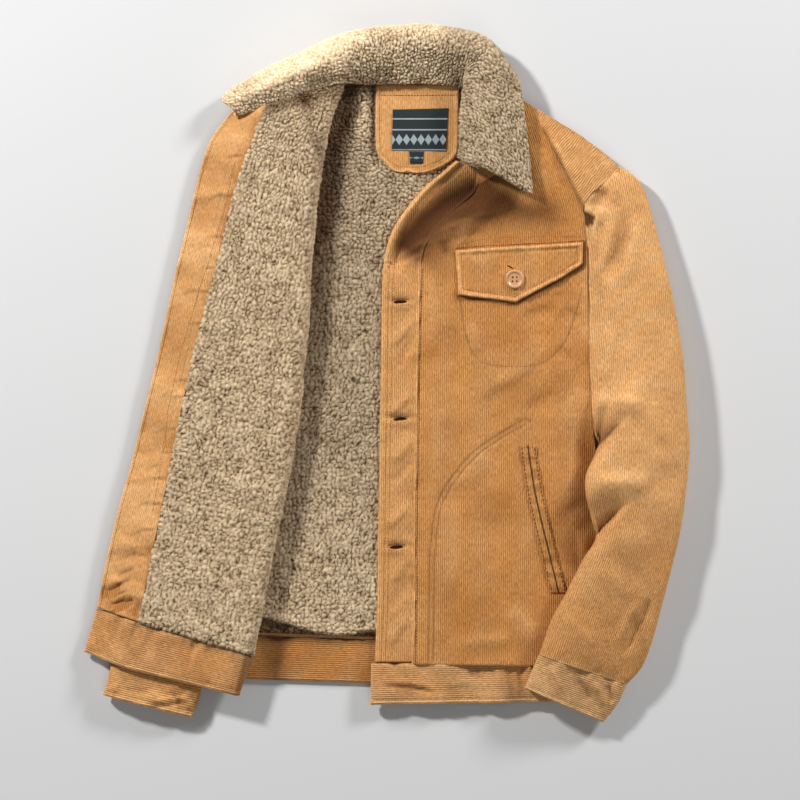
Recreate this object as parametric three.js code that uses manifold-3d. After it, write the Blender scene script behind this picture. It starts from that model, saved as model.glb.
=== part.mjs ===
// A corduroy jacket with a fleece lining, laid flat on its back, one front folded open.
// Millimetres, +Z up. +X runs to the wearer's left side, +Y runs from the hem to the neck.
// Every piece that a maker cuts is one closed solid with its real wall. A table gives a
// piece's sections, one row for each cut across it, and smooth() fills in between the rows.
import * as THREE from "three";
import Module from "manifold-3d";
import { mergeVertices } from "three/addons/utils/BufferGeometryUtils.js";

// Cloth and trim sizes.
const GAP = 0.3; // clear space between two pieces that are sewn or lie on each other
const SHELL = 2.4; // corduroy wall
const FLEECE = 6; // fleece lining wall
const BAND = 5; // folded hem band
const STRIP = 4; // folded buttonhole strip, and the cuffs
const COLLAR_WALL = 8; // fleece on both faces of the collar
const SLEEVE_WALL = 3; // corduroy with the lining's backing
const BUTTON_RADIUS = 10.5;
const BUTTON_THICKNESS = 3.4;
const BUTTON_HOLE_RADIUS = 1.1;
const BUTTON_HOLE_OFFSET = 2.2; // from the centre to each of the four holes, in X and in Y

const LINING_TOP = SHELL + GAP + FLEECE; // the layer on which the front pieces lie
const FRONT_TOP = 18; // top of the closed front, over its own folded seams
const SIDE_TOP = 5.1; // top of the closed front where it meets the back at the side seam
const FOLD_TOP = 24.5; // middle of the corduroy in the opened front's upper layer
const FOLD_RADIUS = 4; // from the middle of the corduroy to the middle of the fold
const OPEN_EDGE = 6.5; // middle of the corduroy at the opened front's free edge

// Small tools.
const lerp = (a, b, t) => a + (b - a) * t;
const clamp01 = (t) => Math.min(1, Math.max(0, t));
const ease = (t) => clamp01(t) ** 2 * (3 - 2 * clamp01(t));

// Rows of numbers under a line of column names.
function table(names, rows) {
  const keys = names.split(" ");
  return rows.map((row) => Object.fromEntries(keys.map((key, i) => [key, row[i]])));
}

// The same rows with `steps` intervals in each gap, on a curve through all of them.
function smooth(rows, steps) {
  const filled = [];
  const at = (i) => rows[Math.min(rows.length - 1, Math.max(0, i))];
  for (let i = 0; i < rows.length - 1; i++) {
    for (let s = 0; s < steps; s++) {
      const t = s / steps;
      const row = {};
      for (const key of Object.keys(rows[0])) {
        const [a, b, c, d] = [at(i - 1)[key], at(i)[key], at(i + 1)[key], at(i + 2)[key]];
        row[key] =
          b +
          0.5 * t * (c - a + t * (2 * a - 5 * b + 4 * c - d + t * (3 * (b - c) + d - a)));
      }
      filled.push(row);
    }
  }
  filled.push({ ...rows[rows.length - 1] });
  return filled;
}

// The value of column `out` where column `key` has the value `v`; the rows rise in `key`.
function lookup(rows, key, v, out) {
  if (v <= rows[0][key]) return rows[0][out];
  for (let i = 1; i < rows.length; i++) {
    if (v <= rows[i][key]) {
      const t = (v - rows[i - 1][key]) / (rows[i][key] - rows[i - 1][key]);
      return lerp(rows[i - 1][out], rows[i][out], t);
    }
  }
  return rows[rows.length - 1][out];
}

// Two point grids of one size, joined to a closed skin. `round` closes each row on itself.
function skin(outer, inner, round = false) {
  const rows = outer.length;
  const cols = outer[0].length;
  const positions = [...outer.flat(), ...inner.flat()].flatMap((p) => [p.x, p.y, p.z]);
  const index = [];
  const id = (i, j, side) => side * rows * cols + i * cols + (j % cols);
  const quad = (a, b, c, d) => index.push(a, b, c, a, c, d);
  const spans = round ? cols : cols - 1;
  for (let i = 0; i < rows - 1; i++) {
    for (let j = 0; j < spans; j++) {
      quad(id(i, j, 0), id(i, j + 1, 0), id(i + 1, j + 1, 0), id(i + 1, j, 0));
      quad(id(i, j, 1), id(i + 1, j, 1), id(i + 1, j + 1, 1), id(i, j + 1, 1));
    }
    if (!round) {
      quad(id(i, 0, 0), id(i + 1, 0, 0), id(i + 1, 0, 1), id(i, 0, 1));
      const j = cols - 1;
      quad(id(i, j, 1), id(i + 1, j, 1), id(i + 1, j, 0), id(i, j, 0));
    }
  }
  for (let j = 0; j < spans; j++) {
    quad(id(0, j, 1), id(0, j + 1, 1), id(0, j + 1, 0), id(0, j, 0));
    const i = rows - 1;
    quad(id(i, j, 0), id(i, j + 1, 0), id(i, j + 1, 1), id(i, j, 1));
  }
  const geometry = new THREE.BufferGeometry();
  geometry.setAttribute("position", new THREE.Float32BufferAttribute(positions, 3));
  geometry.setIndex(index);
  if (volumeOf(geometry) < 0) {
    for (let k = 0; k < index.length; k += 3) [index[k], index[k + 1]] = [index[k + 1], index[k]];
    geometry.setIndex(index);
  }
  geometry.computeVertexNormals();
  return geometry;
}

function volumeOf(geometry) {
  const p = geometry.getAttribute("position");
  const index = geometry.index.array;
  const [a, b, c] = [new THREE.Vector3(), new THREE.Vector3(), new THREE.Vector3()];
  let volume = 0;
  for (let k = 0; k < index.length; k += 3) {
    a.fromBufferAttribute(p, index[k]);
    b.fromBufferAttribute(p, index[k + 1]);
    c.fromBufferAttribute(p, index[k + 2]);
    volume += a.dot(b.cross(c)) / 6;
  }
  return volume;
}

// A panel between two edges (x1, y1)-(x2, y2) of each row; height(x, y, t, row) is its top.
function panel(rows, columns, wall, height) {
  const grid = (drop) =>
    rows.map((row) =>
      Array.from({ length: columns + 1 }, (_, j) => {
        const t = j / columns;
        const x = lerp(row.x1, row.x2, t);
        const y = lerp(row.y1, row.y2, t);
        return new THREE.Vector3(x, y, height(x, y, t, row) - drop);
      }),
    );
  return skin(grid(0), grid(wall));
}

const CORDUROY = { color: 0xc98a45, roughness: 0.92, metalness: 0 };
const SHERPA = { color: 0xb9a07a, roughness: 1, metalness: 0 };
const HORN = { color: 0xd9a878, roughness: 0.45, metalness: 0 };
const SLATE = { color: 0x3a4038, roughness: 0.85, metalness: 0 };

const jacket = new THREE.Group();
function add(name, geometry, look) {
  const mesh = new THREE.Mesh(geometry, new THREE.MeshStandardMaterial(look));
  mesh.name = name;
  jacket.add(mesh);
  return mesh;
}

// Armholes.
// The seam between body and sleeve on the wearer's left, from the underarm to the shoulder.
const armholeLeft = smooth(
  table("y x", [
    [-58, 225],
    [-12, 222],
    [70, 219],
    [128, 218],
    [184, 216],
    [210, 235],
    [228, 254],
  ]),
  4,
);
// The same seam on the wearer's right, hidden under the opened front.
const armholeRight = smooth(
  table("y x", [
    [-80, -181],
    [-20, -165],
    [40, -157],
    [90, -155],
    [140, -158],
    [180, -166],
    [224, -182],
  ]),
  4,
);

// Back.
const backRows = smooth(
  table("x1 y1 x2 y2", [
    [-181, -286.3, 241, -301],
    [-181, -230, 241, -240],
    [-181, -150, 240, -160],
    [-180, -85, 224.4, -62],
    [-164.9, -20, 221.4, -12],
    [-159.2, 20, 220.2, 24],
    [-155.4, 60, 218.4, 60],
    [-154.7, 95, 218, 95],
    [-156.4, 130, 217.4, 128],
    [-165.8, 180, 215.4, 184],
    [-173.4, 203, 229, 205],
    [-180.6, 222, 251, 228],
    [-140, 256, 207, 260],
    [-96, 284, 150, 296],
    [-46, 314, 100, 314],
  ]),
  1,
);
add("back_shell", panel(backRows, 8, SHELL, () => SHELL), CORDUROY);

const liningRows = table("x1 y1 x2 y2", [
  [-148, -274, 211, -290],
  [-148, -228, 211, -238],
  [-147, -150, 209, -160],
  [-144, -88, 196, -70],
  [-130, -20, 200, -12],
  [-122, 60, 200, 60],
  [-121, 130, 200, 128],
  [-120, 178, 200, 178],
  [-116, 222, 204, 222],
  [-106, 250, 194, 252],
  [-86, 278, 144, 288],
  [-44, 309, 98, 309],
]);
add("back_lining", panel(liningRows, 8, FLEECE, () => LINING_TOP), SHERPA);

const backBandRows = table("x1 y1 x2 y2", [
  [-181, -334.5, 241, -349],
  [-181, -311, 241, -325.5],
  [-181, -286.9, 241, -301.6],
]);
add("back_hem_band", panel(backBandRows, 8, BAND, () => BAND), CORDUROY);

// Neck facing, label and size tab.
const NECK_TOP = LINING_TOP + GAP + 2;
const neckRows = table("x1 y1 x2 y2", [
  [18, 221, 30, 221],
  [6, 223.5, 46, 222],
  [-2, 231, 62, 230],
  [-10, 242, 72, 242],
  [-12, 262, 72, 262],
  [-12, 286, 72, 286],
  [-12, 308, 72, 308],
]);
add("neck_facing", panel(neckRows, 4, 2, () => NECK_TOP), CORDUROY);
const labelRows = table("x1 y1 x2 y2", [
  [6, 245, 65, 244.5],
  [7, 290, 68, 291.5],
]);
add("neck_label", panel(labelRows, 1, 1, () => NECK_TOP + GAP + 1), SLATE);
const tabRows = table("x1 y1 x2 y2", [
  [26, 231, 40, 231],
  [25, 244.1, 41, 243.9],
]);
add("size_tab", panel(tabRows, 1, 1, () => NECK_TOP + GAP + 1), SLATE);

// Closed front, the wearer's left.
const frontRows = table("x1 y1 x2 y2", [
  [30.6, -316.4, 241, -318.4],
  [32.2, -249, 241, -249],
  [32.2, -183, 241, -183],
  [33.2, -117, 236, -117],
  [34.2, -62, 224.4, -66],
  [35.2, 4, 221, 4],
  [37.2, 81, 217.8, 78],
  [40.2, 130, 216.8, 126],
  [52, 153, 216, 158],
  [72, 176, 214.8, 184],
  [98, 199, 222, 199],
  [105, 225, 233, 212],
  [108, 250, 246, 224],
  [109, 272, 212, 257],
  [109, 290, 176, 283],
  [110, 304, 148, 300],
]);
const sideSeam = table("y x", [
  [-320, 241],
  [-183, 241],
  [-117, 236],
  [-66, 224.4],
  [4, 222],
]);

// Top of the closed front: lower at the front strip, and down to the back at the side seam.
function frontHeight(x, y) {
  const fromStrip = x - lookup(frontRows, "y1", y, "x1");
  const fromSide = lookup(sideSeam, "y", y, "x") - x;
  const rise = lerp(14.6, FRONT_TOP, ease(fromStrip / 35));
  const shoulder = 3 * ease((y - 215) / 60);
  const open = ease((y + 95) / 50);
  const seam = lerp(SIDE_TOP + 3.4, SIDE_TOP, ease((y + 300) / 40));
  const side = lerp(seam, FRONT_TOP, ease(fromSide / 38));
  return lerp(Math.min(rise, side), rise, open) - shoulder;
}
add("front_left", panel(smooth(frontRows, 2), 14, SHELL, frontHeight), CORDUROY);

const stripRows = table("x1 y1 x2 y2", [
  [-13, -316.4, 30, -316.4],
  [-10, -249, 31.6, -249],
  [-9, -183, 31.6, -183],
  [-8, -117, 32.6, -117],
  [-7, -62, 33.6, -62],
  [-6, 4, 34.6, 4],
  [-5, 81, 36.6, 81],
  [-2, 128, 39.4, 130],
  [9.5, 163, 50.6, 153.6],
  [37, 200, 70.6, 177],
  [60, 220, 95, 201.4],
  [76, 234, 101.5, 225],
]);
// The strip is rounded down at its free edge, and rises over the neck facing at its top end.
const stripHeight = (x, y, t) =>
  14.6 - 1.5 * (1 - ease(t / 0.25)) + 2.4 * (1 - t) * ease((y - 205) / 15);
add("front_strip", panel(smooth(stripRows, 2), 5, STRIP, stripHeight), CORDUROY);

const frontBandRows = table("x1 y1 x2 y2", [
  [-18, -363, 241, -359],
  [-17.5, -352, 241, -350],
  [-17, -332, 241, -332],
  [-17, -317, 241, -319],
]);
const bandHeight = (x) => lerp(14.6, 10.6, ease((x - 60) / 170));
add("hem_band_left", panel(frontBandRows, 12, BAND, bandHeight), CORDUROY);

// Chest flap, its button and the hand pocket's edges.
const flapRows = table("x1 y1 x2 y2", [
  [75.4, 135.3, 79, 86.4],
  [92, 136.4, 95, 84],
  [114, 138, 116, 81.6],
  [141.4, 139.7, 141.4, 78.2],
  [163.4, 140.8, 163.4, 90.2],
  [191, 142.5, 191, 104.5],
  [210, 143.6, 210, 117],
  [215, 144, 214.6, 121],
]);
const FLAP_WALL = 3;
const flapHeight = (x, y) => frontHeight(x, y) + GAP + FLAP_WALL;
add("chest_flap", panel(flapRows, 4, FLAP_WALL, flapHeight), CORDUROY);

const slitRows = table("y x", [
  [-240, 188.8],
  [-204, 180],
  [-136, 164],
  [-94, 157],
  [-78, 155],
]);
const WELT_WIDTH = 7;
const WELT_WALL = 2;
const SLIT = 1.6; // open width of the pocket's mouth
const weltHeight = (x, y) => frontHeight(x, y) + GAP + WELT_WALL;
function welt(from, to) {
  const rows = smooth(slitRows, 2).map(({ x, y }) => ({
    x1: x + from,
    y1: y,
    x2: x + to,
    y2: y,
  }));
  return panel(rows, 2, WELT_WALL, weltHeight);
}
add("pocket_edge_front", welt(-SLIT / 2 - WELT_WIDTH, -SLIT / 2), CORDUROY);
add("pocket_edge_side", welt(SLIT / 2, SLIT / 2 + WELT_WIDTH), CORDUROY);

// Buttons.
const wasm = await Module();
wasm.setup();

function solidOf(geometry) {
  const bare = geometry.clone();
  bare.deleteAttribute("normal");
  bare.deleteAttribute("uv");
  const merged = mergeVertices(bare, 1e-4);
  return new wasm.Manifold(
    new wasm.Mesh({
      numProp: 3,
      vertProperties: merged.getAttribute("position").array,
      triVerts: new Uint32Array(merged.index.array),
    }),
  );
}

function geometryOf(solid) {
  const mesh = solid.getMesh();
  const geometry = new THREE.BufferGeometry();
  geometry.setAttribute("position", new THREE.BufferAttribute(mesh.vertProperties, 3));
  geometry.setIndex(new THREE.BufferAttribute(mesh.triVerts, 1));
  geometry.computeVertexNormals();
  return geometry;
}

// A round button with a raised rim and four holes; its axis is Z and its back is at z = 0.
function buttonGeometry() {
  const r = BUTTON_RADIUS;
  const h = BUTTON_THICKNESS;
  const profile = [
    [0, 0],
    [r - 1.2, 0],
    [r, 1.2],
    [r, h - 0.9],
    [r - 1.2, h],
    [r - 2.6, h - 0.2],
    [r - 4, h - 1.1],
    [0, h - 1.1],
  ].map(([x, y]) => new THREE.Vector2(x, y));
  const disc = new THREE.LatheGeometry(profile, 20).rotateX(Math.PI / 2);
  let solid = solidOf(disc);
  for (const [sx, sy] of [[1, 1], [1, -1], [-1, 1], [-1, -1]]) {
    const pin = new THREE.CylinderGeometry(BUTTON_HOLE_RADIUS, BUTTON_HOLE_RADIUS, 3 * h, 6);
    pin.rotateX(Math.PI / 2);
    pin.translate(sx * BUTTON_HOLE_OFFSET, sy * BUTTON_HOLE_OFFSET, 0);
    solid = solid.subtract(solidOf(pin));
  }
  return geometryOf(solid);
}

const FLAP_BUTTON = { x: 140.3, y: 103.4 };
const flapButton = add("flap_button", buttonGeometry(), HORN);
flapButton.position.set(FLAP_BUTTON.x, FLAP_BUTTON.y, flapHeight(FLAP_BUTTON.x, FLAP_BUTTON.y) + GAP);

// The three that close the front are under the opened front's edge, face down.
const CLOSING_HEIGHT = 2.5; // from the floor up to the buttons' faces
const closing = table("x y", [
  [-216, 114],
  [-242, -6],
  [-278, -145],
]);
closing.forEach(({ x, y }, i) => {
  const button = add(`front_button_${i + 1}`, buttonGeometry(), HORN);
  button.rotation.x = Math.PI;
  button.position.set(x, y, CLOSING_HEIGHT + BUTTON_THICKNESS);
});

// Sleeves and cuffs.
// What a sleeve lies on: the closed front and its band, or the floor beside them.
function bodyTop(x, y) {
  const side = lookup(sideSeam, "y", y, "x");
  const below = clamp01((-364 - y) / 8);
  const top = y < -330 ? bandHeight(x) : frontHeight(Math.min(x, side), y);
  const past = Math.max(clamp01((x - side - 5) / 8), below, ease((y + 76) / 18));
  return lerp(top, 0, past);
}

// The highest of it close by, so that the sleeve stays clear between its own sections.
function support(x, y) {
  const near = [-10, 0, 10].flatMap((dx) => [-9, 0, 9].map((dy) => bodyTop(x + dx, y + dy)));
  const top = Math.max(...near);
  return top > 0 ? top + 1.2 : 0;
}

// A flattened tube. Each row has the inner edge (x1, y1), the outer edge (x2, y2), the
// tube's height, the height of what is under the inner edge, and how much of the armhole's
// curve the section follows.
function tube(rows, around, wall, armhole, floorAt) {
  const half = around / 2;
  const ring = (row, inset) =>
    Array.from({ length: around }, (_, k) => {
      const turn = (k / around) * 2 * Math.PI;
      const t = 0.5 - 0.5 * Math.cos(turn);
      const dome = Math.abs(Math.sin(turn)) ** 0.55 * Math.sign(Math.sin(turn));
      const width = Math.hypot(row.x2 - row.x1, row.y2 - row.y1);
      const inT = lerp(t, 0.5, (2 * inset) / width);
      let x = lerp(row.x1, row.x2, inT);
      const y = lerp(row.y1, row.y2, inT);
      if (row.curve > 0) {
        const first = armhole[0];
        const last = armhole[armhole.length - 1];
        const seamY = lerp(first.y, last.y, inT);
        const bow = lookup(armhole, "y", seamY, "x") - lerp(first.x, last.x, inT);
        x += row.curve * bow;
      }
      const middle = row.height / 2 + row.rest * (1 - ease((t - 0.15) / 0.8));
      let z = middle + (row.height / 2) * dome;
      if (k > half) z = Math.max(lerp(middle, 0, -dome), floorAt(x, y));
      if (k === 0 || k === half) z = Math.max(z, floorAt(x, y) + wall * 1.2);
      if (inset > 0) z += k > half ? wall : k === 0 || k === half ? 0 : -wall;
      return new THREE.Vector3(x, y, z);
    });
  return skin(
    rows.map((row) => ring(row, 0)),
    rows.map((row) => ring(row, wall)),
    true,
  );
}

const sleeveLeftRows = table("x1 y1 x2 y2 height rest curve", [
  [226.4, -58, 255.4, 228, 22, 0, 1],
  [229, -68, 280, 206, 28, 0, 0.78],
  [233, -78, 299, 144, 33, 0, 0.5],
  [227, -91, 315, 76, 36, 8, 0.22],
  [218, -110, 325, 15, 37, 17, 0.06],
  [217, -130, 329, -40, 37, 19, 0],
  [223, -156, 332, -84, 36, 19, 0],
  [228, -180, 328, -128, 35, 18, 0],
  [216, -200, 322, -172, 34, 19, 0],
  [205, -221, 311, -218, 33, 19, 0],
  [194, -243, 301, -257, 31, 19, 0],
  [181, -266, 291, -293, 30, 19, 0],
  [173, -288, 280, -321, 28, 19, 0],
  [167, -306, 263.4, -340, 26, 19, 0],
]);
add("sleeve_left", tube(smooth(sleeveLeftRows, 1), 22, SLEEVE_WALL, armholeLeft, support), CORDUROY);

const cuffLeftRows = table("x1 y1 x2 y2 height rest curve", [
  [166, -307.6, 262.8, -341.8, 25, 19, 0],
  [158, -326, 254, -360, 24, 16, 0],
  [151, -343, 238, -382, 22, 16, 0],
]);
add("cuff_left", tube(cuffLeftRows, 22, 4, armholeLeft, support), CORDUROY);

const sleeveRightRows = table("x1 y1 x2 y2 height rest curve", [
  [-181.8, -80, -182.8, 224, 18, 0, 1],
  [-183.4, -95, -194, 175, 20, 0, 0.7],
  [-184, -108, -203, 120, 21, 0, 0.4],
  [-185, -122, -213, 65, 21, 0, 0.18],
  [-186, -135, -225, 10, 21, 0, 0.05],
  [-187, -150, -239, -45, 21, 0, 0],
  [-188, -170, -251, -95, 21, 0, 0],
  [-189, -195, -262, -145, 21, 0, 0],
  [-190, -222, -272, -195, 21, 0, 0],
  [-192, -255, -283, -240, 21, 0, 0],
  [-195, -290, -293, -283, 21, 0, 0],
  [-201, -336.4, -301, -316, 21, 0, 0],
]);
const floor = () => 0;
add("sleeve_right", tube(sleeveRightRows, 18, SLEEVE_WALL, armholeRight, floor), CORDUROY);

const cuffRightRows = table("x1 y1 x2 y2 height rest curve", [
  [-201.4, -337.2, -301.6, -317, 20, 0, 0],
  [-206, -359, -306, -337, 21, 0, 0],
  [-214, -377, -311, -352, 20, 0, 0],
]);
add("cuff_right", tube(cuffRightRows, 18, 4, armholeRight, floor), CORDUROY);

// Opened front, the wearer's right.
// Each row: free edge a, inner edge of the facing l, fold b, side seam or armhole s, and
// the height there of the corduroy's middle.
const openRows = smooth(
  table("ax ay lx ly bx by sx sy sz", [
    [-317.8, -256.4, -270.8, -271.3, -144.8, -308.3, -180.6, -285, 8],
    [-307, -202, -259, -213, -133, -246, -180.6, -238, 3.9],
    [-294, -147, -247, -155, -121, -184, -180.6, -180, 3.9],
    [-280, -97, -236, -101, -108, -122, -180, -128, 3.9],
    [-267, -44, -225, -46, -97, -59, -176, -80, 3.9],
    [-255, 4, -215, 3, -90, 3, -163, -20, 3.9],
    [-243, 57, -201, 62, -84, 65, -155, 40, 3.9],
    [-232, 110, -186, 117, -81, 128, -152, 90, 3.9],
    [-218, 167, -172, 176, -75, 189, -153, 135, 3.9],
    [-206, 219, -156, 229, -62, 249, -158, 172, 3.9],
    [-193, 257, -142, 265, -52, 286, -165, 200, 3.9],
    [-173, 276, -131, 287, -46, 309, -170, 214, 3.9],
  ]),
  1,
);

// A point of the opened front. `s` goes 0 (free edge), 1 (facing's inner edge), 2 (start of
// the fold), 3 (end of the fold), 4 (side seam); `off` is the height over the corduroy's
// middle, on the side of the lining.
function openPoint(row, s, off) {
  const length = Math.hypot(row.bx - row.ax, row.by - row.ay);
  const ux = (row.bx - row.ax) / length;
  const uy = (row.by - row.ay) / length;
  const reach = FOLD_RADIUS + 7.5;
  const fx = row.bx - ux * reach;
  const fy = row.by - uy * reach;
  const upper = (x, y) => {
    const from = Math.hypot(x - row.ax, y - row.ay);
    return lerp(OPEN_EDGE, FOLD_TOP, ease(from / 45)) + off;
  };
  if (s <= 1) {
    const x = lerp(row.ax, row.lx, s);
    const y = lerp(row.ay, row.ly, s);
    return new THREE.Vector3(x, y, upper(x, y));
  }
  if (s <= 2) {
    const x = lerp(row.lx, fx, s - 1);
    const y = lerp(row.ly, fy, s - 1);
    return new THREE.Vector3(x, y, upper(x, y));
  }
  const middle = FOLD_TOP - FOLD_RADIUS;
  if (s <= 3) {
    const turn = (s - 2) * Math.PI;
    const r = FOLD_RADIUS + off;
    const out = r * Math.sin(turn);
    return new THREE.Vector3(fx + ux * out, fy + uy * out, middle + r * Math.cos(turn));
  }
  const t = s - 3;
  const lower = middle - FOLD_RADIUS - off;
  const z = lerp(lower, row.sz - off, ease((t - 0.7) / 0.3));
  return new THREE.Vector3(lerp(fx, row.sx, t), lerp(fy, row.sy, t), z);
}

function openPanel(rows, stops, low, high) {
  const grid = (off) => rows.map((row) => stops.map((s) => openPoint(row, s, off)));
  return skin(grid(high), grid(low));
}
const spread = (from, to, n) => Array.from({ length: n + 1 }, (_, i) => lerp(from, to, i / n));

const FACE = SHELL / 2; // from the corduroy's middle to its face
const shellStops = [
  ...spread(0, 1, 5),
  ...spread(1, 2, 4).slice(1),
  ...spread(2, 3, 6).slice(1),
  ...spread(3, 4, 5).slice(1),
];
add("front_right", openPanel(openRows, shellStops, -FACE, FACE), CORDUROY);
const liningStops = [...spread(1.02, 2, 5), ...spread(2, 3, 6).slice(1), 3.2, 3.4];
add("front_right_lining", openPanel(openRows, liningStops, FACE + GAP, FACE + GAP + FLEECE), SHERPA);
add("facing_right", openPanel(openRows, spread(0, 0.99, 5), FACE + GAP, FACE + GAP + SHELL), CORDUROY);

const openBandRows = table("ax ay lx ly bx by sx sy sz", [
  [-332, -305, -285, -322, -157, -354, -180.6, -332, 10],
  [-325, -281, -278, -298, -151, -332, -180.6, -309, 10],
  [-318, -257.2, -271, -272.1, -145, -309.1, -180.6, -287, 10],
]);
add("hem_band_right", openPanel(openBandRows, shellStops, -FACE, BAND - FACE), CORDUROY);

// Collar.
// Each row, from the wearer's right end to the left end: neck seam n, top of the stand t,
// outside of the roll r, free edge p, all on the middle of the wall.
const collarRows = smooth(
  table("nx ny nz tx ty tz rx ry rz px py pz", [
    [-166, 283, 17, -169, 290, 24, -180, 299, 15, -171, 301, 6],
    [-142, 290, 21, -148, 303, 31, -163, 312, 16, -150, 311, 6],
    [-113, 299, 26, -119, 318, 38, -130, 331, 16, -116, 324, 6],
    [-83, 310, 28, -88, 332, 41, -99, 346, 16, -88, 336, 6],
    [-50, 317, 27, -55, 350, 42, -62, 362, 17, -55, 347, 6],
    [-20, 317, 16, -22, 362, 40, -26, 373, 17, -22, 355, 6],
    [10, 318, 13.4, 10, 366, 38, 10, 377, 17, 10, 358, 6],
    [40, 318, 13.4, 42, 367, 38, 44, 378, 17, 42, 359, 6],
    [66, 317, 13.4, 75, 363, 38, 82, 374, 19, 80, 358, 7],
    [84, 312, 15, 95, 352, 37, 111, 361, 24, 120, 347, 11],
    [94, 300, 17, 92, 334, 33, 119, 338, 33, 143, 322, 17],
    [98, 280, 18.5, 86, 304, 30, 114, 302, 34, 150, 293, 22],
    [97, 257, 19.5, 83, 266, 29, 115, 260, 33, 156, 244, 22.3],
    [92, 236, 20.5, 81, 234, 28, 111, 224, 32, 157, 199, 22.5],
  ]),
  1,
);

function collarPath(row) {
  const knots = [
    new THREE.Vector3(row.nx, row.ny, row.nz),
    new THREE.Vector3(row.tx, row.ty, row.tz),
    new THREE.Vector3(row.rx, row.ry, row.rz),
    new THREE.Vector3(row.px, row.py, row.pz),
  ];
  return new THREE.CatmullRomCurve3(knots, false, "centripetal").getSpacedPoints(11);
}

// Moves each point of a grid along the surface's own normal.
function moved(grid, distance) {
  return grid.map((row, i) =>
    row.map((point, j) => {
      const along = new THREE.Vector3().subVectors(
        grid[Math.min(i + 1, grid.length - 1)][j],
        grid[Math.max(i - 1, 0)][j],
      );
      const across = new THREE.Vector3().subVectors(
        row[Math.min(j + 1, row.length - 1)],
        row[Math.max(j - 1, 0)],
      );
      const normal = along.cross(across).normalize();
      return point.clone().addScaledVector(normal, distance);
    }),
  );
}
const collarGrid = collarRows.map(collarPath);
add(
  "collar",
  skin(moved(collarGrid, -COLLAR_WALL / 2), moved(collarGrid, COLLAR_WALL / 2)),
  SHERPA,
);

// Origin: the middle of the footprint, on the floor.
const box = new THREE.Box3().setFromObject(jacket, true);
const centre = box.getCenter(new THREE.Vector3());
jacket.position.set(-centre.x, -centre.y, -box.min.z);

export default jacket;
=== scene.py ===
# %% [markdown]
# # A fleece-lined corduroy jacket, laid flat
# The jacket lies on its back with one front folded open. Each piece of cloth is a fine
# surface worked out from a short table of sections, in millimetres, with the same numbers
# as the solid that it stands for. Creases, curls and stitches are then laid on it.

# %%
import math

import bpy
import numpy as np
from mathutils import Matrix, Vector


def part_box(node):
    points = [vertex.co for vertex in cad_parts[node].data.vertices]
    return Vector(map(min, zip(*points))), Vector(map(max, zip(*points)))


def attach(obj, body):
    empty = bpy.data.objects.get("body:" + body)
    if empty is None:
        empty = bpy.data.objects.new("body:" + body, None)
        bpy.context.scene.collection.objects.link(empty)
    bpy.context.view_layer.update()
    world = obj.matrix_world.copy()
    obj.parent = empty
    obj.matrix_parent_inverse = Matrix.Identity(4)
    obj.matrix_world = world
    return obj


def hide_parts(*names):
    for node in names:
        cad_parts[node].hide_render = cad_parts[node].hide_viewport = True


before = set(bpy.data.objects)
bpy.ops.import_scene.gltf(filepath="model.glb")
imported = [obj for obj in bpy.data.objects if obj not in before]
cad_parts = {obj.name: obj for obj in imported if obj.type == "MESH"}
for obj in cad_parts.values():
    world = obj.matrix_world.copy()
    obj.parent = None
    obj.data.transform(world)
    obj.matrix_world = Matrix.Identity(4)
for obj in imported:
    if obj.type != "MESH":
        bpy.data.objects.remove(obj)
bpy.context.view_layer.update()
MM = 0.001

# %% [markdown]
# ## Sizes
# Sizes that several pieces share. Heights are measured up from the floor.

# %%
SHELL = 2.4            # corduroy wall
FLEECE = 6.0           # fleece wall
LINING_TOP = 8.7       # top of the back lining
FRONT_TOP = 18.0       # top of the closed front
SIDE_TOP = 5.1         # the same at the side seam
FOLD_TOP = 24.5        # middle of the corduroy in the opened front
FOLD_RADIUS = 4.0      # of the fold, to the corduroy's middle
OPEN_EDGE = 6.5        # middle of the corduroy at the opened front's edge
WALE = 2.3             # from rib to rib
CURL = 4.7             # across one curl of the fleece
FINE = 1.9             # spacing of a fine surface's points
GAP = 0.3              # between a panel and what lies on it
LEAST_HEIGHT = 0.3     # of a turned edge over the floor
STRIP_TOP = 14.6       # top of the buttonhole strip, and of the front beside it
BACK_BAND_TOP = 5.0    # top of the back's hem band
HEM_STITCH = 5         # from a band's lower edge to its row of stitches
NECK_SEAM_STITCH = 298  # Y of the row of stitches across the neck facing
print("Wale", WALE, "mm, curl", CURL, "mm")

# %% [markdown]
# ## Numbers to curves
# `smooth_rows` reads a table at any place between its rows, on a curve through all of them.
# `ease` is a soft step, and `noise` is soft seeded noise between -1 and 1.

# %%
def table(names, rows):
    """Rows of numbers whose columns have names."""
    return {"names": names.split(), "rows": np.array(rows, float)}


def smooth_rows(source, count, straight=False):
    """The table's columns by name, each as a column of `count` values."""
    rows = source["rows"]
    at = np.linspace(0, len(rows) - 1, count)
    i = np.minimum(at.astype(int), len(rows) - 2)
    t = (at - i)[:, None]
    last = len(rows) - 1
    a, b, c, d = (rows[np.clip(i + k, 0, last)] for k in (-1, 0, 1, 2))
    curve = b + 0.5 * t * (c - a + t * (2 * a - 5 * b + 4 * c - d + t * (3 * (b - c) + d - a)))
    values = b + (c - b) * t if straight else curve
    return {name: values[:, k:k + 1] for k, name in enumerate(source["names"])}


def ease(t):
    """A soft step from 0 to 1."""
    t = np.clip(t, 0, 1)
    return t * t * (3 - 2 * t)


def lerp(a, b, t):
    return a + (b - a) * t


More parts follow.
